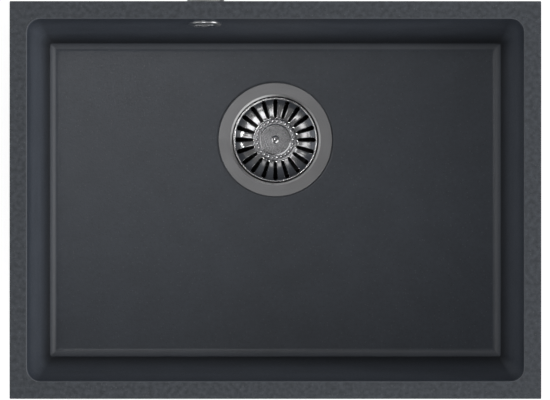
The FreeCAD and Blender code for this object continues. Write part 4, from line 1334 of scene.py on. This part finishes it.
@dataclass
class Basket(SubAssembly):
    """The dished strainer sheet: twenty tapered slots with pressed lips, a rolled edge and a skirt.

    Each lip is a line round a slot: how far out it lies, and how deep it is pressed.
    """

    BODY: ClassVar[Body] = Body.STRAINER

    radius: float = 42.4
    ring: float = 41.2
    sheet: float = 1.0
    sink: float = 0.8
    skirt: float = 5.0
    rolled: float = 0.2
    roll_hold: float = 0.1
    ring_hold: float = 0.15
    dish_depth: float = 10.0
    dish_flat: float = 14.0
    pin_hole: float = 3.05
    slot_count: int = 20
    slot_inner: float = 22.0
    slot_outer: float = 40.45
    slot_inner_width: float = 3.0
    slot_outer_width: float = 4.5
    lips: tuple[tuple[float, float], ...] = ((0.0, -0.34), (0.22, -0.10), (0.48, 0.0))
    inner_lip_share: float = 0.2
    grain: float = 1.15
    free_gap: float = 0.45
    middle: float = 12.0
    arc_steps: int = 8
    slot_steps: int = 12
    roll_steps: int = 6
    merge: float = 0.01
    copy_merge: float = 0.02
    level: float = 0.01
    crease: float = 48.0

    @property
    def half_turn(self) -> float:
        """Give half the angle of a sector with one slot."""
        return math.pi / self.slot_count

    @property
    def slot_ends(self) -> tuple[Spot, Spot]:
        """Give the middle and radius of the slot's two round ends."""
        small, large = self.slot_inner_width / 2, self.slot_outer_width / 2
        return (self.slot_inner + small, small), (self.slot_outer - large, large)

    def height(self, radius: float) -> float:
        """Give the dish's height at a radius.

        Args:
            radius: the distance from the axis.

        Returns:
            The height, flat in the middle and round from there to the ring.
        """
        reach = self.ring - self.dish_flat
        drop = self.dish_depth - self.sink
        rise = (reach ** 2 + self.sink ** 2 - self.dish_depth ** 2) / (2 * drop)
        away = max(0.0, min(radius, self.ring) - self.dish_flat)
        return rise - math.sqrt((rise + self.dish_depth) ** 2 - away ** 2)

    def slot_gap(self, x: float, y: float) -> float:
        """Give the distance from a spot to the slot's edge.

        Args:
            x: how far out the spot is.
            y: how far to the side it is.

        Returns:
            The distance, negative inside the slot.
        """
        (start, small), (end, large) = self.slot_ends
        share = min(1.0, max(0.0, (x - start) / (end - start)))
        return math.hypot(x - start - share * (end - start), y) - small - share * (large - small)

    def slot_line(self, grown: float) -> Outline:
        """Give the slot's outline.

        Args:
            grown: how far outside the slot's edge it lies.

        Returns:
            The outline, clockwise.
        """
        (start, small), (end, large) = self.slot_ends
        small, large = small + grown, large + grown
        arc = turns(self.arc_steps, -QUARTER, QUARTER)
        line = [(end + x, y) for x, y in (around(large, turn) for turn in arc)]
        side = [(end + (start - end) * k / self.slot_steps, large + (small - large) * k / self.slot_steps)
                for k in range(1, self.slot_steps)]
        line += [(x, -y) for x, y in side]
        line += [(start - x, -y) for x, y in (around(small, turn) for turn in arc)]
        return line + side[::-1]

    def sector_border(self) -> tuple[Outline, list[float]]:
        """Give the border of one sector's perforated part.

        Returns:
            The border, and the radii at which its sides and the sheet have points.
        """
        rows = max(2, round((self.ring - self.middle) / self.grain))
        radii = turns(rows, self.ring, self.middle)
        side = [around(radius, self.half_turn) for radius in radii]
        within = turns(self.arc_steps, self.half_turn, -self.half_turn)[1:-1]
        outer = [around(self.ring, turn) for turn in reversed(within)]
        inner = [around(self.middle, turn) for turn in within]
        return side + outer + [(x, -y) for x, y in reversed(side)] + inner, radii

    def sector_plan(self) -> tuple[Outline, list[tuple[int, int]], list[float]]:
        """Lay out one sector flat: its border, the lines round its slot and the points between.

        Returns:
            The points, the pairs of points that edges must join, and how deep each point is pressed.
        """
        spots, radii = self.sector_border()
        links = [(k, (k + 1) % len(spots)) for k in range(len(spots))]
        sinks = [0.0] * len(spots)
        for grown, sunk in self.lips:
            line = self.slot_line(grown)
            links += [(len(spots) + k, len(spots) + (k + 1) % len(line)) for k in range(len(line))]
            spots += line
            start = self.slot_ends[0][0]
            sinks += [sunk if x > start else self.inner_lip_share * sunk for x, _ in line]
        free = self.lips[-1][0] + self.free_gap
        for radius in radii[1:-1]:
            count = max(1, round(2 * self.half_turn * radius / self.grain))
            row = [around(radius, turn) for turn in turns(count, self.half_turn, -self.half_turn)[1:-1]]
            row = [spot for spot in row if self.slot_gap(*spot) > free]
            spots += row
            sinks += [0.0] * len(row)
        return spots, links, sinks

    def perforated(self, bm: bmesh.types.BMesh) -> None:
        """Add one sector's perforated part, laid out flat and then lifted to the dish.

        Args:
            bm: the mesh.
        """
        spots, links, sinks = self.sector_plan()
        points = [Vector(spot) for spot in spots]
        flat, _, faces, origins, _, _ = delaunay_2d_cdt(points, links, [], 1, FINE)
        verts = []
        for spot, origin in zip(flat, origins):
            sunk = sinks[origin[0]] if origin else 0.0
            verts.append(bm.verts.new((spot.x, spot.y, self.height(spot.length) + sunk)))
        for face in faces:
            middle = sum((flat[k] for k in face), Vector((0.0, 0.0))) / len(face)
            if self.slot_gap(middle.x, middle.y) > 0.0:
                bm.faces.new([verts[k] for k in face])

    def plain(self, bm: bmesh.types.BMesh) -> None:
        """Add one sector's plain parts: the flat rim with its roll and skirt, and the middle.

        Args:
            bm: the mesh.
        """
        edge = self.radius - self.rolled
        flat = (self.ring, self.ring + self.ring_hold, edge - self.roll_hold)
        rim = [(radius, -self.sink) for radius in flat]
        rim += [(edge + self.rolled * math.sin(turn), -self.sink - self.rolled * (1 - math.cos(turn)))
                for turn in turns(self.roll_steps)]
        rim.append((self.radius, -self.sink - self.skirt))
        middle = [(radius, -self.dish_depth) for radius in (self.pin_hole, self.dish_flat / 2, self.middle)]
        angles = turns(self.arc_steps, -self.half_turn, self.half_turn)
        for profile in (rim, middle):
            strips = [[bm.verts.new((*around(radius, turn), z)) for turn in angles]
                      for radius, z in profile]
            for low, high in zip(strips, strips[1:]):
                for k in range(self.arc_steps):
                    bm.faces.new([low[k], high[k], high[k + 1], low[k + 1]])

    def sector(self) -> bmesh.types.BMesh:
        """Build one sector of the sheet, with all its faces up or out.

        Returns:
            The sector, in metres.
        """
        bm = bmesh.new()
        self.perforated(bm)
        self.plain(bm)
        bmesh.ops.remove_doubles(bm, verts=bm.verts, dist=self.merge)
        for face in bm.faces:
            face.normal_update()
            upright = abs(face.normal.z) <= self.level
            inward = face.normal.dot(face.calc_center_median()) < 0
            if (upright and inward) or face.normal.z < -self.level:
                face.normal_flip()
        bm.transform(Matrix.Scale(MM, 4))
        return bm

    def build(self) -> bpy.types.Object:
        """Build the strainer's sheet from its sectors, and give it its thickness.

        Returns:
            The strainer's sheet.
        """
        item = placed("strainer_basket", self.sector())
        ring_of(item, self.slot_count, Finish.BASKET_STEEL.material(), self.copy_merge * MM)
        walled(item, self.sheet, even=True)
        seated(item, LAYOUT.drain)
        smooth(item, self.crease)
        return item

    def pieces(self) -> Pieces:
        """Build the basket."""
        return [(self.build(), Finish.BASKET_STEEL, "basket")]


@dataclass
class Knob(SubAssembly):
    """The round pull: a beaded ring round a let-in disc with a domed rivet.

    A bevel is how far it runs in and how far down.
    """

    BODY: ClassVar[Body] = Body.STRAINER

    radius: float = 21.1
    top: float = 3.4
    thick: float = 3.0
    neck: float = 9.0
    neck_bend: float = 1.2
    foot_bend: float = 0.7
    dish_depth: float = 10.0
    bevel: Spot = (0.9, 0.28)
    bevel_bends: Spot = (0.3, 0.2)
    pocket_bend: float = 0.25
    disc_radius: float = 15.7
    disc_thick: float = 1.2
    disc_proud: float = 0.5
    disc_bevel: Spot = (1.1, 0.35)
    disc_bends: Spot = (0.3, 0.1)
    disc_facet: float = 6.0
    fit: float = 0.05
    rivet_radius: float = 4.3
    rivet_height: float = 1.1
    rivet_shank: float = 2.0
    rivet_length: float = 3.4
    stud: float = 3.0
    stud_cover: float = 1.0
    bead_count: int = 26
    bead_ring: float = 18.35
    bead_radius: float = 1.9
    bead_height: float = 0.34
    bead_root: float = 0.3
    bead_rows: int = 5
    bead_sides: int = 14
    steps: int = 128
    rivet_steps: int = 64
    crown_steps: int = 12

    def body(self) -> bpy.types.Object:
        """Build the knob's body.

        Returns:
            The body, with the pocket of the disc, the hole of the rivet and the bore of the pin's stud.
        """
        seat = self.top + self.disc_thick - self.disc_proud
        rivet = self.rivet_shank + self.fit
        rivet_end = self.top - self.disc_proud + self.rivet_length
        stud = self.stud + self.fit
        stud_top = rivet_end + self.stud_cover
        hole_end = rivet_end + self.fit
        under = self.top + self.thick
        pocket = self.disc_radius + self.fit
        outline = rounded([
            (0.0, -hole_end, 0.0), (rivet, -hole_end, 0.0), (rivet, -seat, 0.0),
            (pocket, -seat, 0.0), (pocket, -self.top, self.pocket_bend),
            (self.radius - self.bevel[0], -self.top, self.bevel_bends[0]),
            (self.radius, -self.top - self.bevel[1], self.bevel_bends[1]),
            (self.radius, -under, self.foot_bend), (self.neck, -under, self.neck_bend),
            (self.neck, -self.dish_depth, 0.0), (stud, -self.dish_depth, 0.0), (stud, -stud_top, 0.0),
            (0.0, -stud_top, 0.0),
        ])
        return make_object("strainer_knob", lathe(outline, self.steps), LAYOUT.drain)

    def beads(self) -> bpy.types.Object:
        """Build the beads on the knob's ring.

        Returns:
            The beads, in one mesh.
        """
        bm = bmesh.new()
        rows = [(self.bead_radius, -self.bead_root)]
        rows += [(self.bead_radius * math.cos(turn), self.bead_height * math.sin(turn))
                 for turn in turns(self.bead_rows)[:-1]]
        rings = [[bm.verts.new((self.bead_ring + x, y, rise - self.top))
                  for x, y in circle(reach, self.bead_sides)] for reach, rise in rows]
        rings.append([bm.verts.new((self.bead_ring, 0.0, self.bead_height - self.top))])
        skin(bm, rings)
        bm.faces.new(rings[0])
        item = make_object("knob_beads", bm)
        ring_of(item, self.bead_count, Finish.KNOB_STEEL.material())
        return seated(item, LAYOUT.drain)

    def disc(self) -> bpy.types.Object:
        """Build the flat disc.

        Returns:
            The disc, with the hole of the rivet.
        """
        high = self.disc_proud - self.top
        low = high - self.disc_thick
        hole = self.rivet_shank + self.fit
        across, down = self.disc_bevel
        soft, sharp = self.disc_bends
        outline = rounded([
            (self.disc_radius - across, high, soft), (self.disc_radius, high - down, sharp),
            (self.disc_radius, low, sharp), (hole, low, 0.0), (hole, high, sharp)],
            self.disc_facet)
        return make_object("strainer_disc", lathe(outline, self.steps), LAYOUT.drain)

    def rivet(self) -> bpy.types.Object:
        """Build the rivet with its domed head.

        Returns:
            The rivet.
        """
        top = self.disc_proud - self.top
        foot = top - self.rivet_length
        radius, lean = crown(self.rivet_radius, self.rivet_height)
        outline = [(radius * math.sin(turn), top + self.rivet_height - radius * (1 - math.cos(turn)))
                   for turn in turns(self.crown_steps, lean)]
        outline += [(self.rivet_shank, top), (self.rivet_shank, foot), (0.0, foot)]
        return make_object("strainer_rivet", lathe(outline, self.rivet_steps), LAYOUT.drain)

    def pieces(self) -> Pieces:
        """Build the knob's three pieces."""
        knob = joined(self.body(), self.beads(), CREASE)
        return [(knob, Finish.KNOB_STEEL, "knob"), (self.disc(), Finish.DISC_STEEL, "knob_disc"),
                (self.rivet(), Finish.KNOB_STEEL, "knob_rivet")]


@dataclass
class Rosette(SubAssembly):
    """The chromed rosette over the overflow's hole, and the screw in its middle."""

    radius: float = 16.0
    height: float = 2.2
    edge: float = 1.0
    mouth: float = 9.5
    mouth_bend: float = 0.6
    wall: float = 1.2
    back_bend: float = 0.5
    recess: float = 3.0
    hole_count: int = 6
    hole: float = 1.9
    hole_ring: float = 6.6
    hole_sides: int = 24
    bore: float = 2.65
    bore_bend: float = 0.2
    screw_radius: float = 2.5
    screw_head: float = 4.2
    screw_head_thick: float = 2.2
    screw_head_slope: Spot = (1.4, 1.3)
    screw_head_sag: float = 0.05
    screw_bends: tuple[float, float, float] = (0.3, 0.5, 0.3)
    screw_length: float = 21.0
    screw_point: Spot = (1.0, 1.5)
    cross_reach: float = 2.6
    cross_width: float = 0.9
    cross_deep: float = 0.9
    past: float = 1.0
    dome_steps: int = 16
    screw_steps: int = 48
    crease: float = 30.0

    @property
    def seat(self) -> Matrix:
        """Give the seat whose +Z looks out of the wall into the bowl."""
        return LAYOUT.on_wall @ Matrix.Rotation(QUARTER, 4, "X")

    def cover(self) -> bpy.types.Object:
        """Build the domed cover with its sunk plate and holes.

        Returns:
            The cover.
        """
        radius, lean = crown((self.radius - self.mouth) / 2, self.height - self.edge)
        middle = (self.mouth + self.radius) / 2
        outline = [(middle + radius * math.sin(turn), self.height - radius * (1 - math.cos(turn)))
                   for turn in turns(self.dome_steps, lean, -lean)]
        back, inner = -self.recess - self.wall, self.mouth + self.wall
        outline += [(self.radius, 0.0), (inner, 0.0)]
        outline += rounded([
            (inner, back, self.back_bend), (self.bore, back, 0.0),
            (self.bore, -self.recess, self.bore_bend), (self.mouth, -self.recess, self.mouth_bend)])
        item = make_object("overflow_rosette", lathe(outline), self.seat, self.crease)
        drill = [(x + self.hole_ring, y) for x, y in circle(self.hole, self.hole_sides)]
        tool = make_object("drill", prism(drill, back - self.past, self.past - self.recess))
        ring_of(tool, self.hole_count, Finish.COVER_CHROME.material())
        return cut(item, [seated(tool, self.seat)], self.crease)

    def screw(self) -> bpy.types.Object:
        """Build the screw with a cross in its raised head.

        Returns:
            The screw.
        """
        top, under = self.screw_head_thick - self.recess, -self.recess
        tip = under - self.screw_length
        across, down = self.screw_head_slope
        point, point_length = self.screw_point
        crest, side, shoulder = self.screw_bends
        outline = rounded([
            (0.0, top, 0.0), (self.screw_head - across, top - self.screw_head_sag, crest),
            (self.screw_head, top - down, side), (self.screw_head, under, 0.0),
            (self.screw_radius, under, 0.0), (self.screw_radius, tip + point_length, shoulder),
            (point, tip, 0.0), (0.0, tip, 0.0)])
        item = make_object("rosette_screw", lathe(outline, self.screw_steps), self.seat)
        reach, half = self.cross_reach, self.cross_width / 2
        bar = [(-reach, -half), (reach, -half), (reach, half), (-reach, half)]
        bars = [make_object("cross", prism(bar, top - self.cross_deep, top + self.past),
                            self.seat @ Matrix.Rotation(turn, 4, "Z")) for turn in (0.0, QUARTER)]
        return cut(item, bars)

    def pieces(self) -> Pieces:
        """Build the rosette and its screw."""
        return [(self.cover(), Finish.COVER_CHROME, "overflow_cover"),
                (self.screw(), Finish.SCREW_CHROME, "overflow_screw")]


@dataclass
class Hose(SubAssembly):
    """The ribbed overflow hose: straight out of the elbow, one bend, and straight into the pot."""

    crest: float = 11.0
    valley: float = 9.7
    cuff: float = 10.0
    wall: float = 0.9
    cuff_run: float = 31.0
    ribs: int = 52
    rib_steps: int = 8
    rib_offset: float = 0.35
    rib_gain: float = 0.95
    cuff_steps: int = 6
    round_steps: int = 40
    crease: float = 60.0

    @property
    def angle(self) -> float:
        """Give the angle that the bend turns through."""
        return LAYOUT.down.angle(LAYOUT.level)

    @property
    def tangent(self) -> float:
        """Give the distance from the route's corner to each end of the bend."""
        return (LAYOUT.inlet - LAYOUT.corner).length - LAYOUT.hose_straight

    @property
    def bend(self) -> float:
        """Give the bend's radius."""
        return self.tangent / math.tan(self.angle / 2)

    @property
    def length(self) -> float:
        """Give the hose's length."""
        upper = (LAYOUT.corner - LAYOUT.mouth).length - self.tangent + LAYOUT.hose_in
        return upper + self.bend * self.angle + LAYOUT.hose_straight + LAYOUT.hose_in

    def route(self, distance: float) -> Vector:
        """Give a point of the hose's line.

        Args:
            distance: how far along the line it is, from the upper end.

        Returns:
            The point.
        """
        down, level, tangent, bend = LAYOUT.down, LAYOUT.level, self.tangent, self.bend
        start = LAYOUT.mouth - down * LAYOUT.hose_in
        bend_start = LAYOUT.corner - down * tangent
        past = distance - (bend_start - start).length
        if past <= 0.0:
            return start + down * distance
        if past >= bend * self.angle:
            return LAYOUT.corner + level * (tangent + past - bend * self.angle)
        side = down.cross(level).normalized()
        centre = bend_start + side.cross(down) * bend
        return centre + Matrix.Rotation(past / bend, 3, side) @ (bend_start - centre)

    def line(self) -> bpy.types.Object:
        """Build the hose's middle line.

        Returns:
            The line as a mesh of edges.
        """
        steps, rib_count = self.cuff_steps, self.ribs * self.rib_steps
        ribbed_end = self.length - self.cuff_run
        stops = turns(steps, self.cuff_run)[:-1] + turns(rib_count, ribbed_end, self.cuff_run)
        stops += turns(steps, self.length, ribbed_end)[1:]
        mesh = bpy.data.meshes.new("ribbed_hose")
        links = [(k, k + 1) for k in range(len(stops) - 1)]
        mesh.from_pydata([self.route(stop) * MM for stop in stops], links, [])
        return placed("ribbed_hose", mesh)

    def radius(self, growth: Growth) -> Socket:
        """Wire the hose's radius at each point of its line.

        Args:
            growth: the hose's tree.

        Returns:
            The radius, a wave between valley and crest along the ribs, and the cuff's elsewhere.
        """
        inputs = growth.inputs
        index = growth.node("InputIndex").outputs["Index"]
        phase = growth.maths("DIVIDE", growth.minus(index, inputs["First Rib"]), inputs["Points a Rib"])
        wave = growth.maths("COSINE", growth.times(phase, FULL))
        swell = growth.times(growth.minus(self.rib_offset, wave), self.rib_gain)
        swell = growth.node("ShaderNodeClamp", {"Value": swell}).outputs[0]
        height = growth.minus(inputs["Crest Radius"], inputs["Valley Radius"])
        ribbed = growth.plus(inputs["Valley Radius"], growth.times(swell, height))
        after = growth.maths("GREATER_THAN", index, growth.minus(inputs["First Rib"], 0.5))
        before = growth.maths("LESS_THAN", index, growth.plus(inputs["Last Rib"], 0.5))
        gain = growth.times(growth.times(after, before), growth.minus(ribbed, inputs["Cuff Radius"]))
        return growth.plus(inputs["Cuff Radius"], gain)

    def build(self) -> bpy.types.Object:
        """Build the hose: a tube whose radius follows the ribs along its line.

        Returns:
            The hose.
        """
        item = self.line()
        growth = Growth("hose ribs", {
            "Crest Radius": self.crest * MM, "Valley Radius": self.valley * MM, "Cuff Radius": self.cuff * MM,
            "Points a Rib": self.rib_steps, "First Rib": self.cuff_steps,
            "Last Rib": self.cuff_steps + self.ribs * self.rib_steps, "Sides": self.round_steps})
        line = growth.node("MeshToCurve", {"Mesh": growth.inputs["Geometry"]}).outputs[0]
        line = growth.node("SetCurveRadius", {"Curve": line, "Radius": self.radius(growth)}).outputs[0]
        sides = {"Resolution": growth.inputs["Sides"], "Radius": 1.0}
        ring = growth.node("CurvePrimitiveCircle", sides).outputs[0]
        scale = growth.node("InputRadius").outputs[0]
        tube = growth.node("CurveToMesh", {"Curve": line, "Profile Curve": ring, "Scale": scale}).outputs[0]
        growth.grow(item, tube, Finish.HOSE_PLASTIC.material())
        walled(item, self.wall)
        smooth(item, self.crease)
        return item

    def pieces(self) -> Pieces:
        """Build the hose."""
        return [(self.build(), Finish.HOSE_PLASTIC, "overflow_hose")]


@dataclass
class Union(SubAssembly):
    """A union nut with grip lugs, its seat's +Z towards the cone ring."""

    name: str
    node: str
    seat: Matrix
    thread: float = 13.65
    radius: float = 16.6
    reach: float = 12.0
    cone: float = 4.0
    cone_gap: float = 0.05
    lip: float = 2.0
    mouth: float = 11.6
    bends: tuple[float, float, float, float] = (0.3, 0.5, 1.0, 0.4)
    lugs: int = 12
    lug_width: float = 3.0
    lug_height: float = 1.3
    lug_root: float = 0.6
    lug_taper: float = 0.2
    lug_bend: float = 0.7
    lug_inset: float = 0.4
    lug_bevel: float = 0.3
    lug_facet: float = 20.0
    crease: float = 40.0

    def lug_ring(self) -> bpy.types.Object:
        """Build the lugs.

        Returns:
            The lugs, in one mesh.
        """
        half, low, top = self.lug_width / 2, self.radius - self.lug_root, self.radius + self.lug_height
        crest = half - self.lug_taper
        shape = rounded([(low, -half, 0.0), (top, -crest, self.lug_bend), (top, crest, self.lug_bend),
                         (low, half, 0.0)], self.lug_facet)
        item = make_object("lug", prism(shape, self.lug_inset - self.reach, self.cone - self.lug_inset))
        modifier = item.modifiers.new("soft edges", "BEVEL")
        modifier.width = self.lug_bevel * MM
        modifier.segments = 2
        modifier.limit_method = "ANGLE"
        settle(item)
        ring_of(item, self.lugs, Finish.NUT_PLASTIC.material())
        return seated(item, self.seat)

    def build(self) -> bpy.types.Object:
        """Build the nut.

        Returns:
            The nut with its lugs.
        """
        end, cone = self.cone + self.lip, self.cone + self.cone_gap
        entry, foot, top, mouth = self.bends
        outline = rounded([
            (self.thread, -self.reach, entry), (self.radius, -self.reach, foot), (self.radius, end, top),
            (self.mouth, end, mouth), (self.mouth, cone, 0.0), (self.thread, cone, 0.0)])
        body = make_object(self.name, lathe(outline), self.seat)
        return joined(body, self.lug_ring(), self.crease)

    def pieces(self) -> Pieces:
        """Build the nut."""
        return [(self.build(), Finish.NUT_PLASTIC, self.node)]


class Carried:
    """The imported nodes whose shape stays, each with the finish of its slot."""

    NODES: ClassVar[dict[str, Finish]] = {
        "flange_seal": Finish.SEAL_RUBBER, "body_seal": Finish.SEAL_RUBBER, "waste_body": Finish.POT_PLASTIC,
        "clamp_bolt": Finish.BOLT_STEEL, "body_insert": Finish.INSERT_BRASS, "basket_pin": Finish.BOLT_STEEL,
        "seal_plate": Finish.BOLT_STEEL, "basket_seal": Finish.SEAL_RUBBER, "pin_ring": Finish.SEAL_RUBBER,
        "overflow_seal": Finish.SEAL_RUBBER, "overflow_insert": Finish.INSERT_BRASS,
        "overflow_elbow": Finish.POT_PLASTIC, "upper_hose_seal": Finish.SEAL_RUBBER,
        "lower_hose_seal": Finish.SEAL_RUBBER,
    }

    def dress(self) -> None:
        """Give each node its finish."""
        for node, finish in self.NODES.items():
            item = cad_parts[node]
            paint_over(item, finish)
            log.info("%s: packed shape in %s", node, finish.slot)


# The studio

@dataclass
class Lamp:
    """A soft light, a rectangle that looks at the bowl.

    Angles are in degrees, the azimuth from +X towards +Y, and lengths in metres.
    """

    name: str
    azimuth: float
    elevation: float
    distance: float
    width: float
    height: float
    radiance: float

    def build(self) -> None:
        """Build the light."""
        data = bpy.data.lights.new(self.name, "AREA")
        data.shape = "RECTANGLE"
        data.size, data.size_y = self.width, self.height
        data.energy = self.radiance * math.pi * self.width * self.height
        item = placed(self.name, data)
        turn, rise = math.radians(self.azimuth), math.radians(self.elevation)
        way = Vector((*around(math.cos(rise), turn), math.sin(rise)))
        item.location = way * self.distance
        item.rotation_mode = "QUATERNION"
        item.rotation_quaternion = (-way).to_track_quat("-Z", "Y")
        item.visible_camera = False


@dataclass
class Studio:
    """The plain pale floor with its round backdrop, the lights and the camera, in metres."""

    floor_drop: float = 0.3085
    floor_radius: float = 14.0
    cove: float = 1.5
    cove_steps: int = 8
    middle: float = 1.0
    wall_top: float = 4.0
    white: float = 0.8
    floor_rough: float = 0.9
    glow: float = 0.72
    world: float = 0.10
    lens: float = 296.6
    sensor: float = 36.0
    height: float = 4.345
    camera_x: float = -0.0004
    clip: Span = (0.1, 60.0)

    LAMPS: ClassVar[tuple[Lamp, ...]] = (
        Lamp("overhead light", 135.0, 75.6, 1.7, 0.32, 0.32, 13.4),
        Lamp("right light", 0.0, 25.0, 2.5, 0.9, 0.9, 10.7),
        Lamp("upper right light", -45.0, 55.0, 2.5, 2.1, 1.0, 1.1),
        Lamp("front right light", 300.0, 25.0, 2.5, 0.9, 0.9, 1.1),
        Lamp("front light", 270.0, 25.0, 2.5, 0.9, 0.9, 1.3),
        Lamp("left light", 180.0, 25.0, 2.5, 0.9, 0.9, 2.2),
        Lamp("upper left light", 189.0, 47.0, 2.5, 2.5, 0.6, 0.85),
        Lamp("rear light", 90.0, 57.0, 2.5, 1.6, 0.5, 0.4),
        Lamp("rear low light", 90.0, 2.0, 2.5, 1.8, 0.6, 1.5),
    )

    def floor_material(self) -> bpy.types.Material:
        """Build the pale floor's material, which keeps the shadow.

        Returns:
            The material.
        """
        paint = Paint("studio floor")
        rays = paint.node("LightPath").outputs
        through = paint.plus(rays["Is Glossy Ray"], rays["Is Transmission Ray"])
        seen = paint.maths("MINIMUM", paint.plus(rays["Is Camera Ray"], through), 1.0)
        return paint.set(Base_Color=(self.white,) * 3, Roughness=self.floor_rough,
                         Emission_Color=(1.0, 1.0, 1.0), Emission_Strength=paint.times(seen, self.glow))

    def build_floor(self) -> None:
        """Build the floor and its round backdrop."""
        reach, low = self.floor_radius, -self.floor_drop
        outline = [(0.0, low), (self.middle, low)]
        outline += [(reach - self.cove * (1 - math.sin(turn)), low + self.cove * (1 - math.cos(turn)))
                    for turn in turns(self.cove_steps)]
        outline.append((reach, self.wall_top))
        item = placed("studio_floor", lathe(outline, closed=False))
        item.data.shade_smooth()
        item.data.materials.append(self.floor_material())

    def build_camera(self) -> None:
        """Build the camera, straight above the bowl."""
        data = bpy.data.cameras.new("camera")
        data.lens, data.sensor_width = self.lens, self.sensor
        data.clip_start, data.clip_end = self.clip
        camera = placed("camera", data)
        camera.location = (self.camera_x, 0.0, self.height)
        bpy.context.scene.camera = camera

    def build(self) -> None:
        """Build the studio."""
        scene = bpy.context.scene
        scene.view_settings.view_transform = "Standard"
        scene.world = bpy.data.worlds.new("studio")
        scene.world.use_nodes = True
        background = scene.world.node_tree.nodes["Background"]
        background.inputs["Color"].default_value = rgba((self.world,) * 3)
        self.build_camera()
        self.build_floor()
        for lamp in self.LAMPS:
            lamp.build()
        log.info("studio: %d lights", len(self.LAMPS))


def main() -> None:
    """Build the studio and every sub-assembly in order."""
    upper = Union("upper_nut", "upper_hose_nut", Layout.facing(LAYOUT.mouth, LAYOUT.down))
    lower = Union("lower_nut", "lower_hose_nut", Layout.facing(LAYOUT.inlet, -LAYOUT.level))
    Studio().build()
    for assembly in (Bowl(), WasteFlange(), Basket(), Knob(), Rosette(), Hose(), upper, lower, Carried()):
        log.info("building %s", type(assembly).__name__)
        assembly.dress()


if __name__ == "__main__":
    logging.basicConfig(level=logging.INFO, format="%(message)s")
    main()
